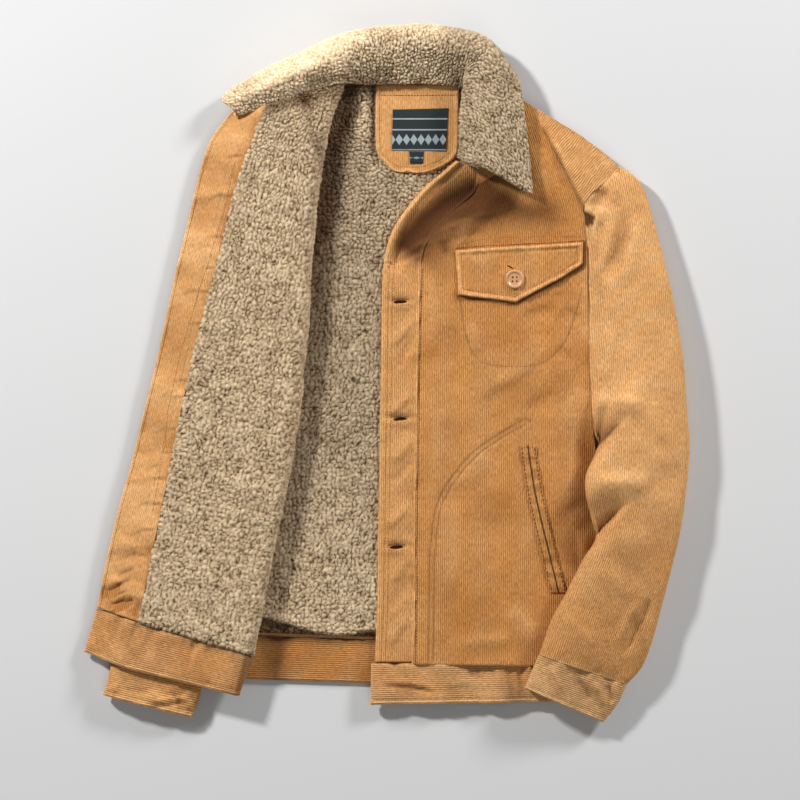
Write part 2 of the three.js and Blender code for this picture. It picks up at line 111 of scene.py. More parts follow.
def noise(x, y, scale, seed):
    """Soft noise on a random lattice with cells of `scale`."""
    rng = np.random.default_rng(seed)
    lattice = rng.uniform(-1, 1, (64, 64))
    u, v = x / scale + 17.3, y / scale + 31.7
    i, j = np.floor(u).astype(int), np.floor(v).astype(int)
    s, t = ease(u - i), ease(v - j)

    def corner(di, dj):
        return lattice[(i + di) % 64, (j + dj) % 64]

    low = lerp(corner(0, 0), corner(1, 0), s)
    high = lerp(corner(0, 1), corner(1, 1), s)
    return lerp(low, high, t)


def stops(length, step, fine=2.2):
    """Places from 0 to 1 along `length`, `step` apart, with closer ones at both ends."""
    edge = np.array([0, 0.3, 0.8, 1.5]) * fine / 2.2
    inner = np.linspace(fine, length - fine, max(2, int(round((length - 2 * fine) / step))))
    return np.concatenate([edge, inner, length - edge[::-1]]) / length


def to_edges(x, y):
    """How far each grid point is from the grid's own four edges and the nearest of them."""
    across = np.hypot(np.diff(x, axis=1), np.diff(y, axis=1))
    down = np.hypot(np.diff(x, axis=0), np.diff(y, axis=0))
    left = np.concatenate([np.zeros((len(x), 1)), np.cumsum(across, axis=1)], axis=1)
    top = np.concatenate([np.zeros((1, x.shape[1])), np.cumsum(down, axis=0)], axis=0)
    edges = left, left[:, -1:] - left, top, top[-1:, :] - top
    return edges + (np.minimum.reduce(edges),)


def rounded(distance, radius):
    """How far a rounded edge of this radius drops at a distance from the edge."""
    d = np.clip(radius - distance, 0, radius)
    return radius - np.sqrt(radius ** 2 - d ** 2)


def bell(distance, width):
    """1 at no distance, falling softly to 0 over about twice `width`, on both sides."""
    return np.exp(-(distance / width) ** 2)


def fading(distance, reach):
    """1 at an edge, fading out inwards."""
    return np.exp(-distance / reach)


def joined(*parts):
    """Grids of coordinates as one grid of points."""
    return np.stack(parts, axis=-1)


def to_line(x, y, points):
    """Distance to a line through `points`, the way along it, and the side: 1 is its right."""
    best = np.full(np.shape(x), 1e9)
    along = np.zeros(np.shape(x))
    side = np.zeros(np.shape(x))
    start = 0.0
    for (x0, y0), (x1, y1) in zip(points[:-1], points[1:]):
        length = math.hypot(x1 - x0, y1 - y0)
        ux, uy = (x1 - x0) / length, (y1 - y0) / length
        s = np.clip((x - x0) * ux + (y - y0) * uy, 0, length)
        d = np.hypot(x - x0 - s * ux, y - y0 - s * uy)
        nearer = d < best
        best = np.where(nearer, d, best)
        along = np.where(nearer, start + s, along)
        side = np.where(nearer, np.sign((x - x0) * uy - (y - y0) * ux), side)
        start += length
    return best, along, side


def curve(points, step=3.0):
    """The same line with close points, on a soft curve through the given ones."""
    rows = table("x y", points)
    length = sum(math.dist(a, b) for a, b in zip(points[:-1], points[1:]))
    fine = smooth_rows(rows, max(3, int(length / step)))
    return list(zip(fine["x"][:, 0], fine["y"][:, 0]))


# %% [markdown]
# ## Folds
# A fold is a soft ridge, or a trough if its height is below zero. It runs from one point to
# the other, fades out at both ends, and is steeper on one side if `lean` isn't zero.

# %%
def from_line(x, y, x0, y0, x1, y1):
    """The way along a straight line, from 0 to 1, the distance to its right, and its length."""
    length = math.hypot(x1 - x0, y1 - y0)
    ux, uy = (x1 - x0) / length, (y1 - y0) / length
    s = ((x - x0) * ux + (y - y0) * uy) / length
    return s, (x - x0) * uy - (y - y0) * ux, length


def folds(x, y, rows):
    """The height of all folds in `rows`: from (x, y), to (x, y), width, height, lean."""
    height = np.zeros(np.shape(x))
    for x0, y0, x1, y1, width, rise, lean in rows:
        s, d, length = from_line(x, y, x0, y0, x1, y1)
        d = d + 0.04 * length * np.sin(math.pi * np.clip(s, 0, 1))
        fade = ease(np.clip(s, 0, 1) / 0.3) * ease((1 - np.clip(s, 0, 1)) / 0.3)
        side = width * np.where(d > 0, 1 + lean, 1 - lean)
        height += rise * fade * bell(d, side)
    return height


def within(x, y, corners, soft):
    """1 inside a convex outline whose corners go anticlockwise, 0 outside, over `soft` mm."""
    inside = np.full(np.shape(x), 1e9)
    for (x0, y0), (x1, y1) in zip(corners, corners[1:] + corners[:1]):
        length = math.hypot(x1 - x0, y1 - y0)
        inside = np.minimum(inside, ((x1 - x0) * (y - y0) - (y1 - y0) * (x - x0)) / length)
    return ease(inside / soft + 0.5)


def pucker(distance, along, reach, pitch, rise, seed):
    """Small gathers along a seam, which die out at `reach` from it."""
    wave = noise(along, along * 0 + 5, pitch, seed)
    wave = wave + 0.5 * noise(along, along * 0, pitch / 2, seed + 1)
    return rise * wave * bell(distance, reach)


def groove(distance, width, depth):
    """The dent that a line of stitches pulls into thick cloth."""
    return -depth * bell(distance, width)


# %% [markdown]
# ## Grids to meshes
# `build` turns a grid of points into a mesh with UVs in metres, U across the ribs and V
# along them. `rim` turns the open edges down, so that a panel shows its thickness.

# %%
def in_scene(obj):
    bpy.context.scene.collection.objects.link(obj)
    return obj


def build(name, points, uv, values=None, rim=0.0, close=False, under=None):
    """A mesh from a grid of points and their UVs in millimetres. `under` closes it below, and
    `close` joins its last column to the first, as on a tube."""
    points = np.asarray(points, float)
    uv = np.broadcast_to(np.asarray(uv, float), points.shape[:2] + (2,))
    values = dict(values or {})
    if rim > 0:
        points, uv, values = turned_down(points, uv, values, rim)
    rows, cols = points.shape[:2]
    vertices = [points.reshape(-1, 3)]
    uvs = [uv.reshape(-1, 2)]
    faces = grid_faces(rows, cols, 0, close)
    if under is not None:
        vertices.append(np.asarray(under, float).reshape(-1, 3))
        uvs.append(uv.reshape(-1, 2))
        back = grid_faces(rows, cols, rows * cols, close)[:, ::-1]
        faces = np.concatenate([faces, back, side_faces(rows, cols, rows * cols, close)])
    vertices = np.concatenate(vertices) * MM
    uvs = np.concatenate(uvs) * MM
    mesh = bpy.data.meshes.new(name)
    mesh.from_pydata(vertices.tolist(), [], faces.tolist())
    layer = mesh.uv_layers.new(name="cloth")
    corners = np.empty(len(mesh.loops), dtype=np.int32)
    mesh.loops.foreach_get("vertex_index", corners)
    layer.data.foreach_set("uv", uvs[corners].astype(np.float32).ravel())
    for key, value in values.items():
        flat = np.broadcast_to(value, (rows, cols)).ravel()
        if under is not None:
            flat = np.concatenate([flat, flat])
        stored_at = mesh.attributes.new(key, "FLOAT", "POINT").data
        stored_at.foreach_set("value", flat.astype(np.float32))
    mesh.shade_smooth()
    return in_scene(bpy.data.objects.new(name, mesh))


def grid_faces(rows, cols, first, close):
    """Four-cornered faces of a grid whose first vertex has the number `first`."""
    i, j = np.meshgrid(np.arange(rows - 1), np.arange(cols if close else cols - 1), indexing="ij")
    k = (j + 1) % cols
    a, b = first + i * cols + j, first + i * cols + k
    c, d = first + (i + 1) * cols + k, first + (i + 1) * cols + j
    return joined(a, b, c, d).reshape(-1, 4)


def side_faces(rows, cols, second, close):
    """The faces that join a grid's edge to the same edge of the grid under it."""
    out = []
    j = np.arange(cols if close else cols - 1)
    k = (j + 1) % cols
    out.append(joined(k, j, second + j, second + k))
    base = (rows - 1) * cols
    out.append(joined(base + j, base + k, second + base + k, second + base + j))
    if not close:
        i = np.arange(rows - 1)
        start = i * cols
        end = start + cols - 1
        out.append(joined(start, start + cols, second + start + cols, second + start))
        out.append(joined(end + cols, end, second + end, second + end + cols))
    return np.concatenate(out)


def turned_down(points, uv, values, rim):
    """The grid with one more ring of points all round, lower by `rim`."""

    def pad(a):
        return np.pad(a, [(1, 1), (1, 1)] + [(0, 0)] * (a.ndim - 2), mode="edge")

    points, uv = pad(points), pad(uv)
    rows, cols = points.shape[:2]
    ring = np.zeros((rows, cols), bool)
    ring[[0, -1], :] = True
    ring[:, [0, -1]] = True
    points[ring, 2] = np.maximum(points[ring, 2] - rim, LEAST_HEIGHT)
    inner = (rows - 2, cols - 2)
    return points, uv, {key: pad(np.broadcast_to(value, inner)) for key, value in values.items()}


def normals(points, place_up):
    """Unit normals of a grid of points, on the side that looks up at `place_up`."""
    du = np.gradient(points, axis=1)
    dv = np.gradient(points, axis=0)
    n = np.cross(du, dv)
    n = n / np.maximum(np.linalg.norm(n, axis=-1, keepdims=True), 1e-9)
    return -n if n[place_up][2] < 0 else n


# %% [markdown]
# ## Curls of fleece
# Fleece is a mat of small curls. Each curl is a long dome round a scattered point, turned its
# own way, and where two curls meet there is a crevice. A warp makes them uneven. The mesh
# keeps `pile`, how far up the curl a point is, and `tone`, how light the curl is; some pieces
# add painted light and shade to `tone`.

# %%
def curls(u, v, size, seed):
    """Distance to the nearest curl's middle, how much further the next one is, and a tone."""
    rng = np.random.default_rng(seed)
    n = 96
    jitter = rng.uniform(0.1, 0.9, (n, n, 2))
    tone = rng.uniform(0, 1, (n, n))
    turn = rng.uniform(0, math.pi, (n, n))
    i, j = np.floor(u / size).astype(int), np.floor(v / size).astype(int)
    near = np.full(np.shape(u), 9.0)
    second = np.full(np.shape(u), 9.0)
    shade = np.zeros(np.shape(u))
    for di in (-1, 0, 1):
        for dj in (-1, 0, 1):
            a, b = (i + di) % n, (j + dj) % n
            dx = u / size - (i + di + jitter[a, b, 0])
            dy = v / size - (j + dj + jitter[a, b, 1])
            c, s = np.cos(turn[a, b]), np.sin(turn[a, b])
            d = np.hypot((dx * c + dy * s) * 0.82, (dy * c - dx * s) * 1.22)
            closer = d < near
            second = np.where(closer, near, np.minimum(second, d))
            near = np.where(closer, d, near)
            shade = np.where(closer, tone[a, b], shade)
    return near, second - near, shade


def fleece(u, v, seed):
    """Displacement of a fleece surface in millimetres, with its pile and tone values."""
    wu = u + 1.5 * noise(u, v, 5.2, seed + 1) + 0.7 * noise(u, v, 2.4, seed + 2)
    wv = v + 1.5 * noise(u, v, 5.2, seed + 3) + 0.7 * noise(u, v, 2.4, seed + 4)
    near, gap, tone = curls(wu, wv, CURL, seed + 5)
    crevice = 1 - fading(gap, 0.2)
    pile = crevice * (1 - 0.6 * near ** 2) + 0.22 * noise(u, v, 2.6, seed + 6)
    drift = noise(u, v, 24, seed + 7)
    tuft = noise(u, v, 11, seed + 8)
    rise = 2.2 * pile + 0.5 * drift + 0.8 * tuft
    tone = 0.6 * tone + 0.2 * (drift + 1) * 0.5 + 0.2 * (tuft + 1) * 0.5
    return rise, {"pile": pile + 0.12 * tuft, "tone": tone}


# %% [markdown]
# ## Materials
# `node` adds one shader node and links its inputs. Colours are sRGB hex through one function.
# Lengths in a material are in metres, and the scale of a noise is in waves per metre.

# %%
def srgb(code):
    """A #rrggbb colour as linear RGBA."""
    channels = [int(code[k:k + 2], 16) / 255 for k in (1, 3, 5)]
    return [c / 12.92 if c <= 0.04045 else ((c + 0.055) / 1.055) ** 2.4 for c in channels] + [1.0]


def node(tree, kind, inputs=None, **settings):
    """Adds a node; an input may be a value or another node's output socket."""
    made = tree.nodes.new(kind)
    for key, value in settings.items():
        setattr(made, key, value)
    for key, value in (inputs or {}).items():
        if isinstance(value, bpy.types.NodeSocket):
            tree.links.new(value, made.inputs[key])
        else:
            made.inputs[key].default_value = value
    return made


def math_node(tree, operation, *values):
    return node(tree, "ShaderNodeMath", dict(enumerate(values)), operation=operation).outputs[0]


def mix_colour(tree, factor, a, b, blend="MIX"):
    made = node(tree, "ShaderNodeMix", {0: factor, 6: a, 7: b}, data_type="RGBA", blend_type=blend)
    return made.outputs[2]


def times(tree, a, b):
    """One colour multiplied by another."""
    return mix_colour(tree, 1.0, a, b, "MULTIPLY")


def noise_node(tree, at, scale, detail, **more):
    """`more` may give the noise's Roughness or Distortion."""
    inputs = {"Vector": at, "Scale": scale, "Detail": detail}
    inputs.update(more)
    return node(tree, "ShaderNodeTexNoise", inputs).outputs[0]


def ranged(tree, value, low, high, to_low=0.0, to_high=1.0, clamp=True):
    """What lies between `low` and `high` moved to between `to_low` and `to_high`."""
    inputs = {0: value, 1: low, 2: high, 3: to_low, 4: to_high}
    return node(tree, "ShaderNodeMapRange", inputs, clamp=clamp).outputs[0]


def on_mesh(tree, name):
    """A value that the mesh keeps at its points."""
    return node(tree, "ShaderNodeAttribute", attribute_name=name).outputs["Fac"]


def in_space(tree):
    """The place in the room, in metres."""
    return node(tree, "ShaderNodeTexCoord").outputs["Object"]


def on_cloth(tree):
    """The place on the cloth, and its U and V."""
    coords = node(tree, "ShaderNodeUVMap", uv_map="cloth").outputs[0]
    split = node(tree, "ShaderNodeSeparateXYZ", {0: coords})
    return coords, split.outputs[0], split.outputs[1]


def new_material(name):
    material = bpy.data.materials.new(name)
    material.use_nodes = True
    tree = material.node_tree
    tree.nodes.clear()
    surface = node(tree, "ShaderNodeBsdfPrincipled")
    output = node(tree, "ShaderNodeOutputMaterial")
    tree.links.new(surface.outputs[0], output.inputs[0])
    return material, tree, surface


def finish_surface(tree, surface, colour, height, relief, strength, settings):
    """Links the colour and a bump of `relief` metres, and sets what else the surface needs."""
    bump = node(tree, "ShaderNodeBump", {"Height": height, "Distance": relief, "Strength": strength})
    tree.links.new(colour, surface.inputs["Base Color"])
    tree.links.new(bump.outputs[0], surface.inputs["Normal"])
    for key, value in settings.items():
        surface.inputs[key].default_value = value


def corduroy_material(name, ground, rib, faded, relief):
    """Ribs run along V. The mesh's faded values mark worn edges and painted highlights, and its darkening
    values are painted shade in creases, under other pieces and in cast shadows.
    """
    material, tree, surface = new_material(name)
    coords, u, _ = on_cloth(tree)
    space = in_space(tree)
    wobble = math_node(tree, "SUBTRACT", noise_node(tree, coords, 90.0, 2.0), 0.5)
    across = math_node(tree, "ADD", u, math_node(tree, "MULTIPLY", wobble, WALE * MM * 0.55))
    turn = math_node(tree, "MULTIPLY", across, 2 * math.pi / (WALE * MM))
    wave = math_node(tree, "MULTIPLY_ADD", math_node(tree, "SINE", turn), 0.5, 0.5)
    ridge = math_node(tree, "POWER", wave, 0.65)
    # Nap: short streaks along the ribs, and patches where the ribs are brushed out.
    streak_at = node(tree, "ShaderNodeMapping", {"Vector": coords, "Scale": (700.0, 210.0, 1.0)})
    streak = noise_node(tree, streak_at.outputs[0], 1.0, 3.0)
    clear = ranged(tree, noise_node(tree, space, 55.0, 3.0), 0.35, 0.65, 0.7, 1.15)
    ridge = math_node(tree, "MULTIPLY_ADD", math_node(tree, "SUBTRACT", ridge, 0.6), clear, 0.6)
    # Cloudy patches, worn places and painted highlights are faded, the ribs more than the ground between
    # them.
    cloud = noise_node(tree, space, 14.0, 4.0, Roughness=0.6)
    fade = math_node(tree, "ADD", ranged(tree, cloud, 0.35, 0.75, 0.0, 0.35), on_mesh(tree, "wear_and_painted_light"))
    fade = math_node(tree, "MULTIPLY", fade, math_node(tree, "MULTIPLY_ADD", ridge, 0.6, 0.4))
    base = mix_colour(tree, ridge, srgb(ground), srgb(rib))
    cloth = mix_colour(tree, math_node(tree, "MINIMUM", fade, 0.9), base, srgb(faded))
    # Rubbed patches from 5 to 40 mm across, where the pile lies another way.
    lay = ranged(tree, noise_node(tree, space, 38.0, 5.0, Roughness=0.72), 0.33, 0.67)
    tint = mix_colour(tree, lay, (0.93, 0.88, 0.82, 1.0), (1.07, 1.08, 1.09, 1.0))
    shade = ranged(tree, streak, 0.32, 0.68)
    grain = mix_colour(tree, shade, (0.76, 0.68, 0.58, 1.0), (1.14, 1.14, 1.14, 1.0))
    cloth = times(tree, times(tree, cloth, tint), grain)
    # Painted shade: where the mesh's shade values are high, the cloth darkens towards a dark brown, in
    # creases, under other pieces and in cast shadows.
    colour = mix_colour(tree, on_mesh(tree, "painted_shade"), cloth, srgb("#42200C"))
    height = math_node(tree, "ADD", ridge, math_node(tree, "MULTIPLY", streak, 0.5))
    finish_surface(tree, surface, colour, height, relief, 0.7, {
        "Roughness": 0.9,
        "Specular IOR Level": 0.15,
        "Sheen Weight": 0.15,
        "Sheen Roughness": 0.45,
        "Sheen Tint": srgb(faded),
    })
    return material


def fleece_material(name, painted_shade, middle, tip):
    """Painted shade between the curls and pale at their tips, from the `pile` and `tone` values."""
    material, tree, surface = new_material(name)
    fibre = noise_node(tree, in_space(tree), 950.0, 3.0, Distortion=1.2)
    strand = math_node(tree, "MULTIPLY_ADD", fibre, 0.7, -0.35)
    level = math_node(tree, "ADD", on_mesh(tree, "pile"), strand)
    ramp = node(tree, "ShaderNodeValToRGB", {0: level})
    steps = ramp.color_ramp.elements
    steps[0].position, steps[0].color = 0.05, srgb(painted_shade)
    steps[1].position, steps[1].color = 0.95, srgb(tip)
    steps.new(0.42).color = srgb(middle)
    shade = ranged(tree, on_mesh(tree, "tone"), 0.0, 1.0, 0.84, 1.12, clamp=False)
    lit = times(tree, ramp.outputs[0], shade)
    # Painted shade: the mesh's shade values darken the curls beside the fold, under the collar and in
    # creases.
    colour = mix_colour(tree, on_mesh(tree, "painted_shade"), lit, times(tree, lit, srgb("#6E5238")))
    finish_surface(tree, surface, colour, fibre, 0.0014, 1.0, {
        "Roughness": 1.0,
        "Specular IOR Level": 0.05,
        "Sheen Weight": 0.3,
        "Sheen Tint": srgb(tip),
    })
    return material


def button_material(name, dark, light):
    """Moulded horn-like plastic with soft cloudy streaks."""
    material, tree, surface = new_material(name)
    cloud = noise_node(tree, in_space(tree), 120.0, 4.0, Distortion=1.5)
    colour = mix_colour(tree, cloud, srgb(dark), srgb(light))
    settings = {"Roughness": 0.38, "Coat Weight": 0.25}
    finish_surface(tree, surface, colour, cloud, 0.0002, 0.4, settings)
    return material


DIAMOND = 0.004        # half the width of a woven diamond, in metres


def woven_material(name, ground, mark=None, rows=()):
    """Smooth woven cloth or thread. `rows` are bands of pattern: V from, V to, kind."""
    material, tree, surface = new_material(name)
    _, u, v = on_cloth(tree)
    pattern = 0.0
    for low, high, kind in rows:
        above = math_node(tree, "GREATER_THAN", v, low)
        inside = math_node(tree, "MULTIPLY", above, math_node(tree, "LESS_THAN", v, high))
        if kind == "diamonds":
            wide = math_node(tree, "PINGPONG", u, DIAMOND)
            tall = math_node(tree, "ABSOLUTE", math_node(tree, "SUBTRACT", v, (low + high) / 2))
            tall = math_node(tree, "MULTIPLY", tall, DIAMOND / ((high - low) / 2))
            near_middle = math_node(tree, "LESS_THAN", math_node(tree, "ADD", tall, wide), DIAMOND)
            inside = math_node(tree, "MULTIPLY", inside, near_middle)
        pattern = math_node(tree, "MAXIMUM", pattern, inside)
    weave_u = math_node(tree, "SINE", math_node(tree, "MULTIPLY", u, 2 * math.pi / 0.0007))
    weave_v = math_node(tree, "SINE", math_node(tree, "MULTIPLY", v, 2 * math.pi / 0.0009))
    weave = math_node(tree, "MULTIPLY", weave_u, weave_v)
    base = mix_colour(tree, pattern, srgb(ground), srgb(mark or ground))
    colour = times(tree, base, math_node(tree, "MULTIPLY_ADD", weave, 0.08, 0.95))
    settings = {"Roughness": 0.7, "Specular IOR Level": 0.1}
    finish_surface(tree, surface, colour, weave, 0.0002, 0.6, settings)
    return material


# Corduroy is given by the colour between its ribs, on them, and where it is faded. The hem
# bands and the left cuff are a little softer, and the neck and front facings are brushed until
# the ribs hardly show. LOOSE is single fibres; SLIT is painted shade for the inside of a hole.
CORDUROY = corduroy_material("camel corduroy", "#A86D36", "#D29656", "#F0C088", 0.0007)
FLEECE_CLOTH = fleece_material("curly beige fleece", "#6E573F", "#BFA37F", "#F0D8B4")
BAND_CLOTH = corduroy_material("band corduroy", "#AE7747", "#D09A62", "#F0CA98", 0.0006)
NAPPED = corduroy_material("napped corduroy", "#C48C54", "#D49E66", "#EEC792", 0.0003)
LOOSE = woven_material("loose wool fibre", "#D9BE96")
HORN = button_material("horn plastic", "#B5794A", "#E2B184")
LABEL = woven_material("woven label", "#33393A", "#A7B2B6", [
    (0.006, 0.018, "diamonds"),
    (0.022, 0.0235, "band"),
    (0.034, 0.0355, "band"),
    (0.0, 0.0015, "band"),
])
TAB = woven_material("woven tab", "#30363A", "#8D979B", [(0.0045, 0.0075, "diamonds")])
THREAD = woven_material("spun thread", "#A06A33")
SLIT = woven_material("shadowed cloth", "#2A1509")
DARK_THREAD = woven_material("dark thread", "#5E3C1E")
print("Materials:", len(bpy.data.materials))

# %% [markdown]
# ## Putting a piece on the frame
# Each piece stands for its CAD node, whose solid it hides, rides on the body, and is painted
# with its cloth. It prints its number of points and its area in square metres.

# %%
def place(obj, material, nodes):
    """Paints a piece, puts it on the body, hides the CAD parts that it stands for, and prints its size."""
    obj.data.materials.append(material)
    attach(obj, "root")
    if nodes:
        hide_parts(*nodes)
    area = sum(face.area for face in obj.data.polygons)
    print(f"{obj.name}: {len(obj.data.vertices)} points, {area:.4f} square metres")
    return obj


def straight_panel(source, step, columns=None, straight=False, fine=2.2):
    """X, Y and the place across of a panel whose rows go from (x1, y1) to (x2, y2)."""
    rows = source["rows"]
    middle = (rows[:, 0:2] + rows[:, 2:4]) / 2
    height = np.hypot(*np.diff(middle, axis=0).T).sum()
    count = max(8, int(height / step))
    r = smooth_rows(source, count, straight)
    width = np.hypot(r["x2"] - r["x1"], r["y2"] - r["y1"]).mean()
    t = stops(width, step, fine) if columns is None else columns
    x = lerp(r["x1"], r["x2"], t[None, :])
    y = lerp(r["y1"], r["y2"], t[None, :])
    return x, y, t


# %% [markdown]
# ## Seam lines
# Where cloth is stitched or turned. Every line is a few points in millimetres. A panel's
# rows go from one edge (x1, y1) to the other (x2, y2).

# %%
ARMHOLE_LEFT = table("y x", [
    [-58, 225], [-12, 222], [70, 219], [128, 218], [184, 216], [210, 235], [228, 254],
])
ARMHOLE_RIGHT = table("y x", [
    [-80, -181], [-20, -165], [40, -157], [90, -155], [140, -158], [180, -166], [224, -182],
])
POCKET_SLIT = table("y x", [[-240, 188.8], [-204, 180], [-136, 164], [-94, 157], [-78, 155]])
POCKET_SLIT_ROWS = table("y1 x1", POCKET_SLIT["rows"])
SIDE_SEAM = np.array([[-320, 241], [-183, 241], [-117, 236], [-66, 224.4], [4, 222]], float)
FRONT_ROWS = table("x1 y1 x2 y2", [
    [27.6, -319.4, 241, -321.4],
    [29.2, -249, 241, -249],
    [29.2, -183, 241, -183],
    [30.2, -117, 237, -117],
    [31.2, -62, 228, -66],
    [32.2, 4, 224.5, 4],
    [34.2, 81, 221.2, 78],
    [37.2, 130, 220.2, 126],
    [49, 153, 219.4, 158],
    [69, 176, 218, 184],
    [95, 199, 225.4, 197],
    [101, 225, 240, 209.6],
    [104, 250, 256, 224],
    [107, 272, 219, 257],
    [107, 290, 176, 284],
    [108, 304, 148, 301],
])
strip_rows = table("x1 y1 x2 y2", [
    [-13, -316.4, 30, -316.4],
    [-10, -249, 31.6, -249],
    [-9, -183, 31.6, -183],
    [-8, -117, 32.6, -117],
    [-7, -62, 33.6, -62],
    [-6, 4, 34.6, 4],
    [-5, 81, 36.6, 81],
    [-2, 128, 39.4, 130],
    [9.5, 163, 50.6, 153.6],
    [37, 200, 70.6, 177],
    [60, 220, 97, 200.4],
    [76, 234, 103.5, 224],
])
FOLD_LINE = [(-41, 318), (-63, 282), (-70, 224), (-79, 160), (-90, 26), (-108, -124), (-130, -250)]
NECK_VALLEY = [(10, 124), (22, 148), (42, 170), (66, 188), (94, 204)]
HAND_BAG = curve([
    (152, -55), (126, -70), (98, -90), (75, -117), (62, -140), (56, -166), (53, -200), (52, -242),
    (51, -315),
])
CHEST_BAG = curve([
    (81, 81), (87, 43), (103, 14), (145, 8), (174, 14), (194, 34), (205, 59), (214, 92),
])
print("Seam lines:", len(HAND_BAG) + len(CHEST_BAG), "points")


def front_height(x, y):
    """Top of the closed front before its folds, the same surface as the CAD solid's."""
    rows = FRONT_ROWS["rows"]
    strip = np.interp(y, rows[:, 1], rows[:, 0])
    side = np.interp(y, SIDE_SEAM[:, 0], SIDE_SEAM[:, 1])
    rise = lerp(STRIP_TOP, FRONT_TOP, ease((x - strip) / 35))
    shoulder = 3 * ease((y - 215) / 60)
    open_armhole = ease((y + 95) / 50)
    seam = lerp(SIDE_TOP + 3.4, SIDE_TOP, ease((y + 300) / 40))
    low = lerp(seam, FRONT_TOP, ease((side - x) / 38))
    return lerp(np.minimum(rise, low), rise, open_armhole) - shoulder


def band_height(x):
    """Top of the closed front's hem band."""
    return lerp(STRIP_TOP, STRIP_TOP - 4, ease((x - 60) / 170))


def neck_hollow(x, y):
    """The valley inside the turned neckline, and the dip under the collar's point."""
    valley = to_line(x, y, NECK_VALLEY)[0]
    under_collar = to_line(x, y, [(112, 246), (140, 200)])[0]
    return -6.5 * bell(valley, 11) - 3.5 * bell(under_collar, 24)


def valley_shade(x, y):
    """Painted shade in the neckline's valley: sharp at the rim, soft below it."""
    distance, along, side = to_line(x, y, NECK_VALLEY)
    inner = np.where(side < 0, distance / 15, distance / 44)
    return 0.97 * np.exp(-inner ** 2) * ease((along + 2) / 22)


def rim_roll(distance):
    """A turned edge: a roll of cloth 7 mm wide."""
    return 2.6 * bell(distance - 3.6, 3.0)


# %% [markdown]
# ## The back
# The back shell is flat on the floor. Its lining shows between the two fronts, so only that
# part has fine curls.

# %%
back_rows = table("x1 y1 x2 y2", [
    [-181, -286.3, 241, -301],
    [-181, -230, 241, -240],
    [-181, -150, 240, -160],
    [-180, -85, 224.4, -62],
    [-164.9, -20, 221.4, -12],
    [-159.2, 20, 220.2, 24],
    [-155.4, 60, 218.4, 60],
    [-154.7, 95, 218, 95],
    [-156.4, 130, 217.4, 128],
    [-165.8, 180, 215.4, 184],
    [-173.4, 203, 229, 205],
    [-180.6, 222, 251, 228],
    [-140, 256, 207, 260],
    [-96, 284, 150, 296],
    [-46, 318, 100, 318],
])
x, y, _ = straight_panel(back_rows, 7, straight=True)
edge = to_edges(x, y)[-1]
top = joined(x, y, SHELL - rounded(edge, 1.1))
under = joined(x, y, rounded(edge, 1.1) + 0.25 * (1 + noise(x, y, 30, 3)) * ease(edge / 30))
back = build("back_panel", top, joined(x, y), {"wear_and_painted_light": 0.5 * fading(edge, 4)}, under=under)
place(back, CORDUROY, ["back_shell"])

band_rows = table("x1 y1 x2 y2", [
    [-181, -334.5, 241, -349],
    [-181, -311, 241, -325.5],
    [-181, -286.9, 241, -301.6],
])
x, y, _ = straight_panel(band_rows, 2.4)
_, _, low, high, edge = to_edges(x, y)
z = BACK_BAND_TOP - rounded(edge, 2.2) - 0.5 + 0.5 * noise(x, y, 22, 5) * ease(edge / 8)
z += groove(low - HEM_STITCH, 1.6, 0.7) + pucker(high, x, 20, 12, 2.2, 6)
z = np.minimum(z, BACK_BAND_TOP + 0.2)
top = joined(x, y, z)
under = joined(x, y, rounded(edge, 2.2) * 0.8)
wear_and_painted_light = 0.55 * fading(edge, 3) + 0.2 * fading(np.abs(low - HEM_STITCH), 2)
# Painted shade over the band, more along its top edge under the lining's hem and right of the fold of the
# opened front.
values = {"wear_and_painted_light": wear_and_painted_light, "painted_shade": 0.12 + 0.7 * bell(high, 5) + 0.4 * bell(x + 118, 14)}
back_band = build("back_band", top, joined(low, x), values, under=under)
place(back_band, CORDUROY, ["back_hem_band"])

lining_rows = table("x1 y1 x2 y2", [
    [-148, -284, 211, -298],
    [-148, -230, 211, -240],
    [-147, -150, 209, -160],
    [-144, -88, 196, -70],
    [-130, -20, 200, -12],
    [-122, 60, 200, 60],
    [-121, 130, 200, 128],
    [-120, 178, 200, 178],
    [-116, 222, 204, 222],
    [-106, 250, 194, 252],
    [-86, 278, 144, 288],
    [-44, 316, 98, 316],
])
shown = np.concatenate([np.linspace(0, 0.6, 172)[:-1], np.linspace(0.6, 1, 10)])
x, y, _ = straight_panel(lining_rows, 1.25, columns=shown)
edge = to_edges(x, y)[-1]
rise, values = fleece(x, y, 11)
z = LINING_TOP - 1.6 - rounded(edge, 4.5) + rise * np.where(x < 75, 1, 0.3)
z += folds(x, y, [
    (-60, 250, -75, -60, 14, -1.6, 0.2),
    (-20, 190, -40, -250, 18, 0.9, 0.0),
])
# It lies lower under the closed front. Beside the fold of the opened front and down from the neck it has a
# painted shadow.
placket = np.interp(y, strip_rows["rows"][:, 1], strip_rows["rows"][:, 0])
z -= 3.6 * ease((x - placket - 6) / 9)
fold_line = to_line(x, y, FOLD_LINE)[0]
values["painted_shade"] = bell(fold_line, 26) * lerp(0.25, 0.9, ease((y + 60) / 260))
neck_shade = to_line(x, y, [(-31, 315), (-46, 285), (-60, 250), (-66, 200), (-73, 150)])[0]
values["painted_shade"] = np.maximum(values["painted_shade"], 0.9 * np.exp(-(neck_shade / 15) ** 4))
# A roll beside the neck facing, with a painted highlight; the rest of the lining is painted darker towards
# the top.
neck_roll = bell(x + 25, 8) * ease((y - 246) / 16)
z += 2.4 * neck_roll
values["painted_shade"] *= 1 - 0.9 * neck_roll
values["tone"] += 1.3 * neck_roll - lerp(0.2, 1.0, ease((y + 240) / 200))
# A painted shadow along the edge of the neck facing.
values["painted_shade"] = np.maximum(values["painted_shade"], 0.8 * bell(x + 15, 3.5) * ease((y - 236) / 10))
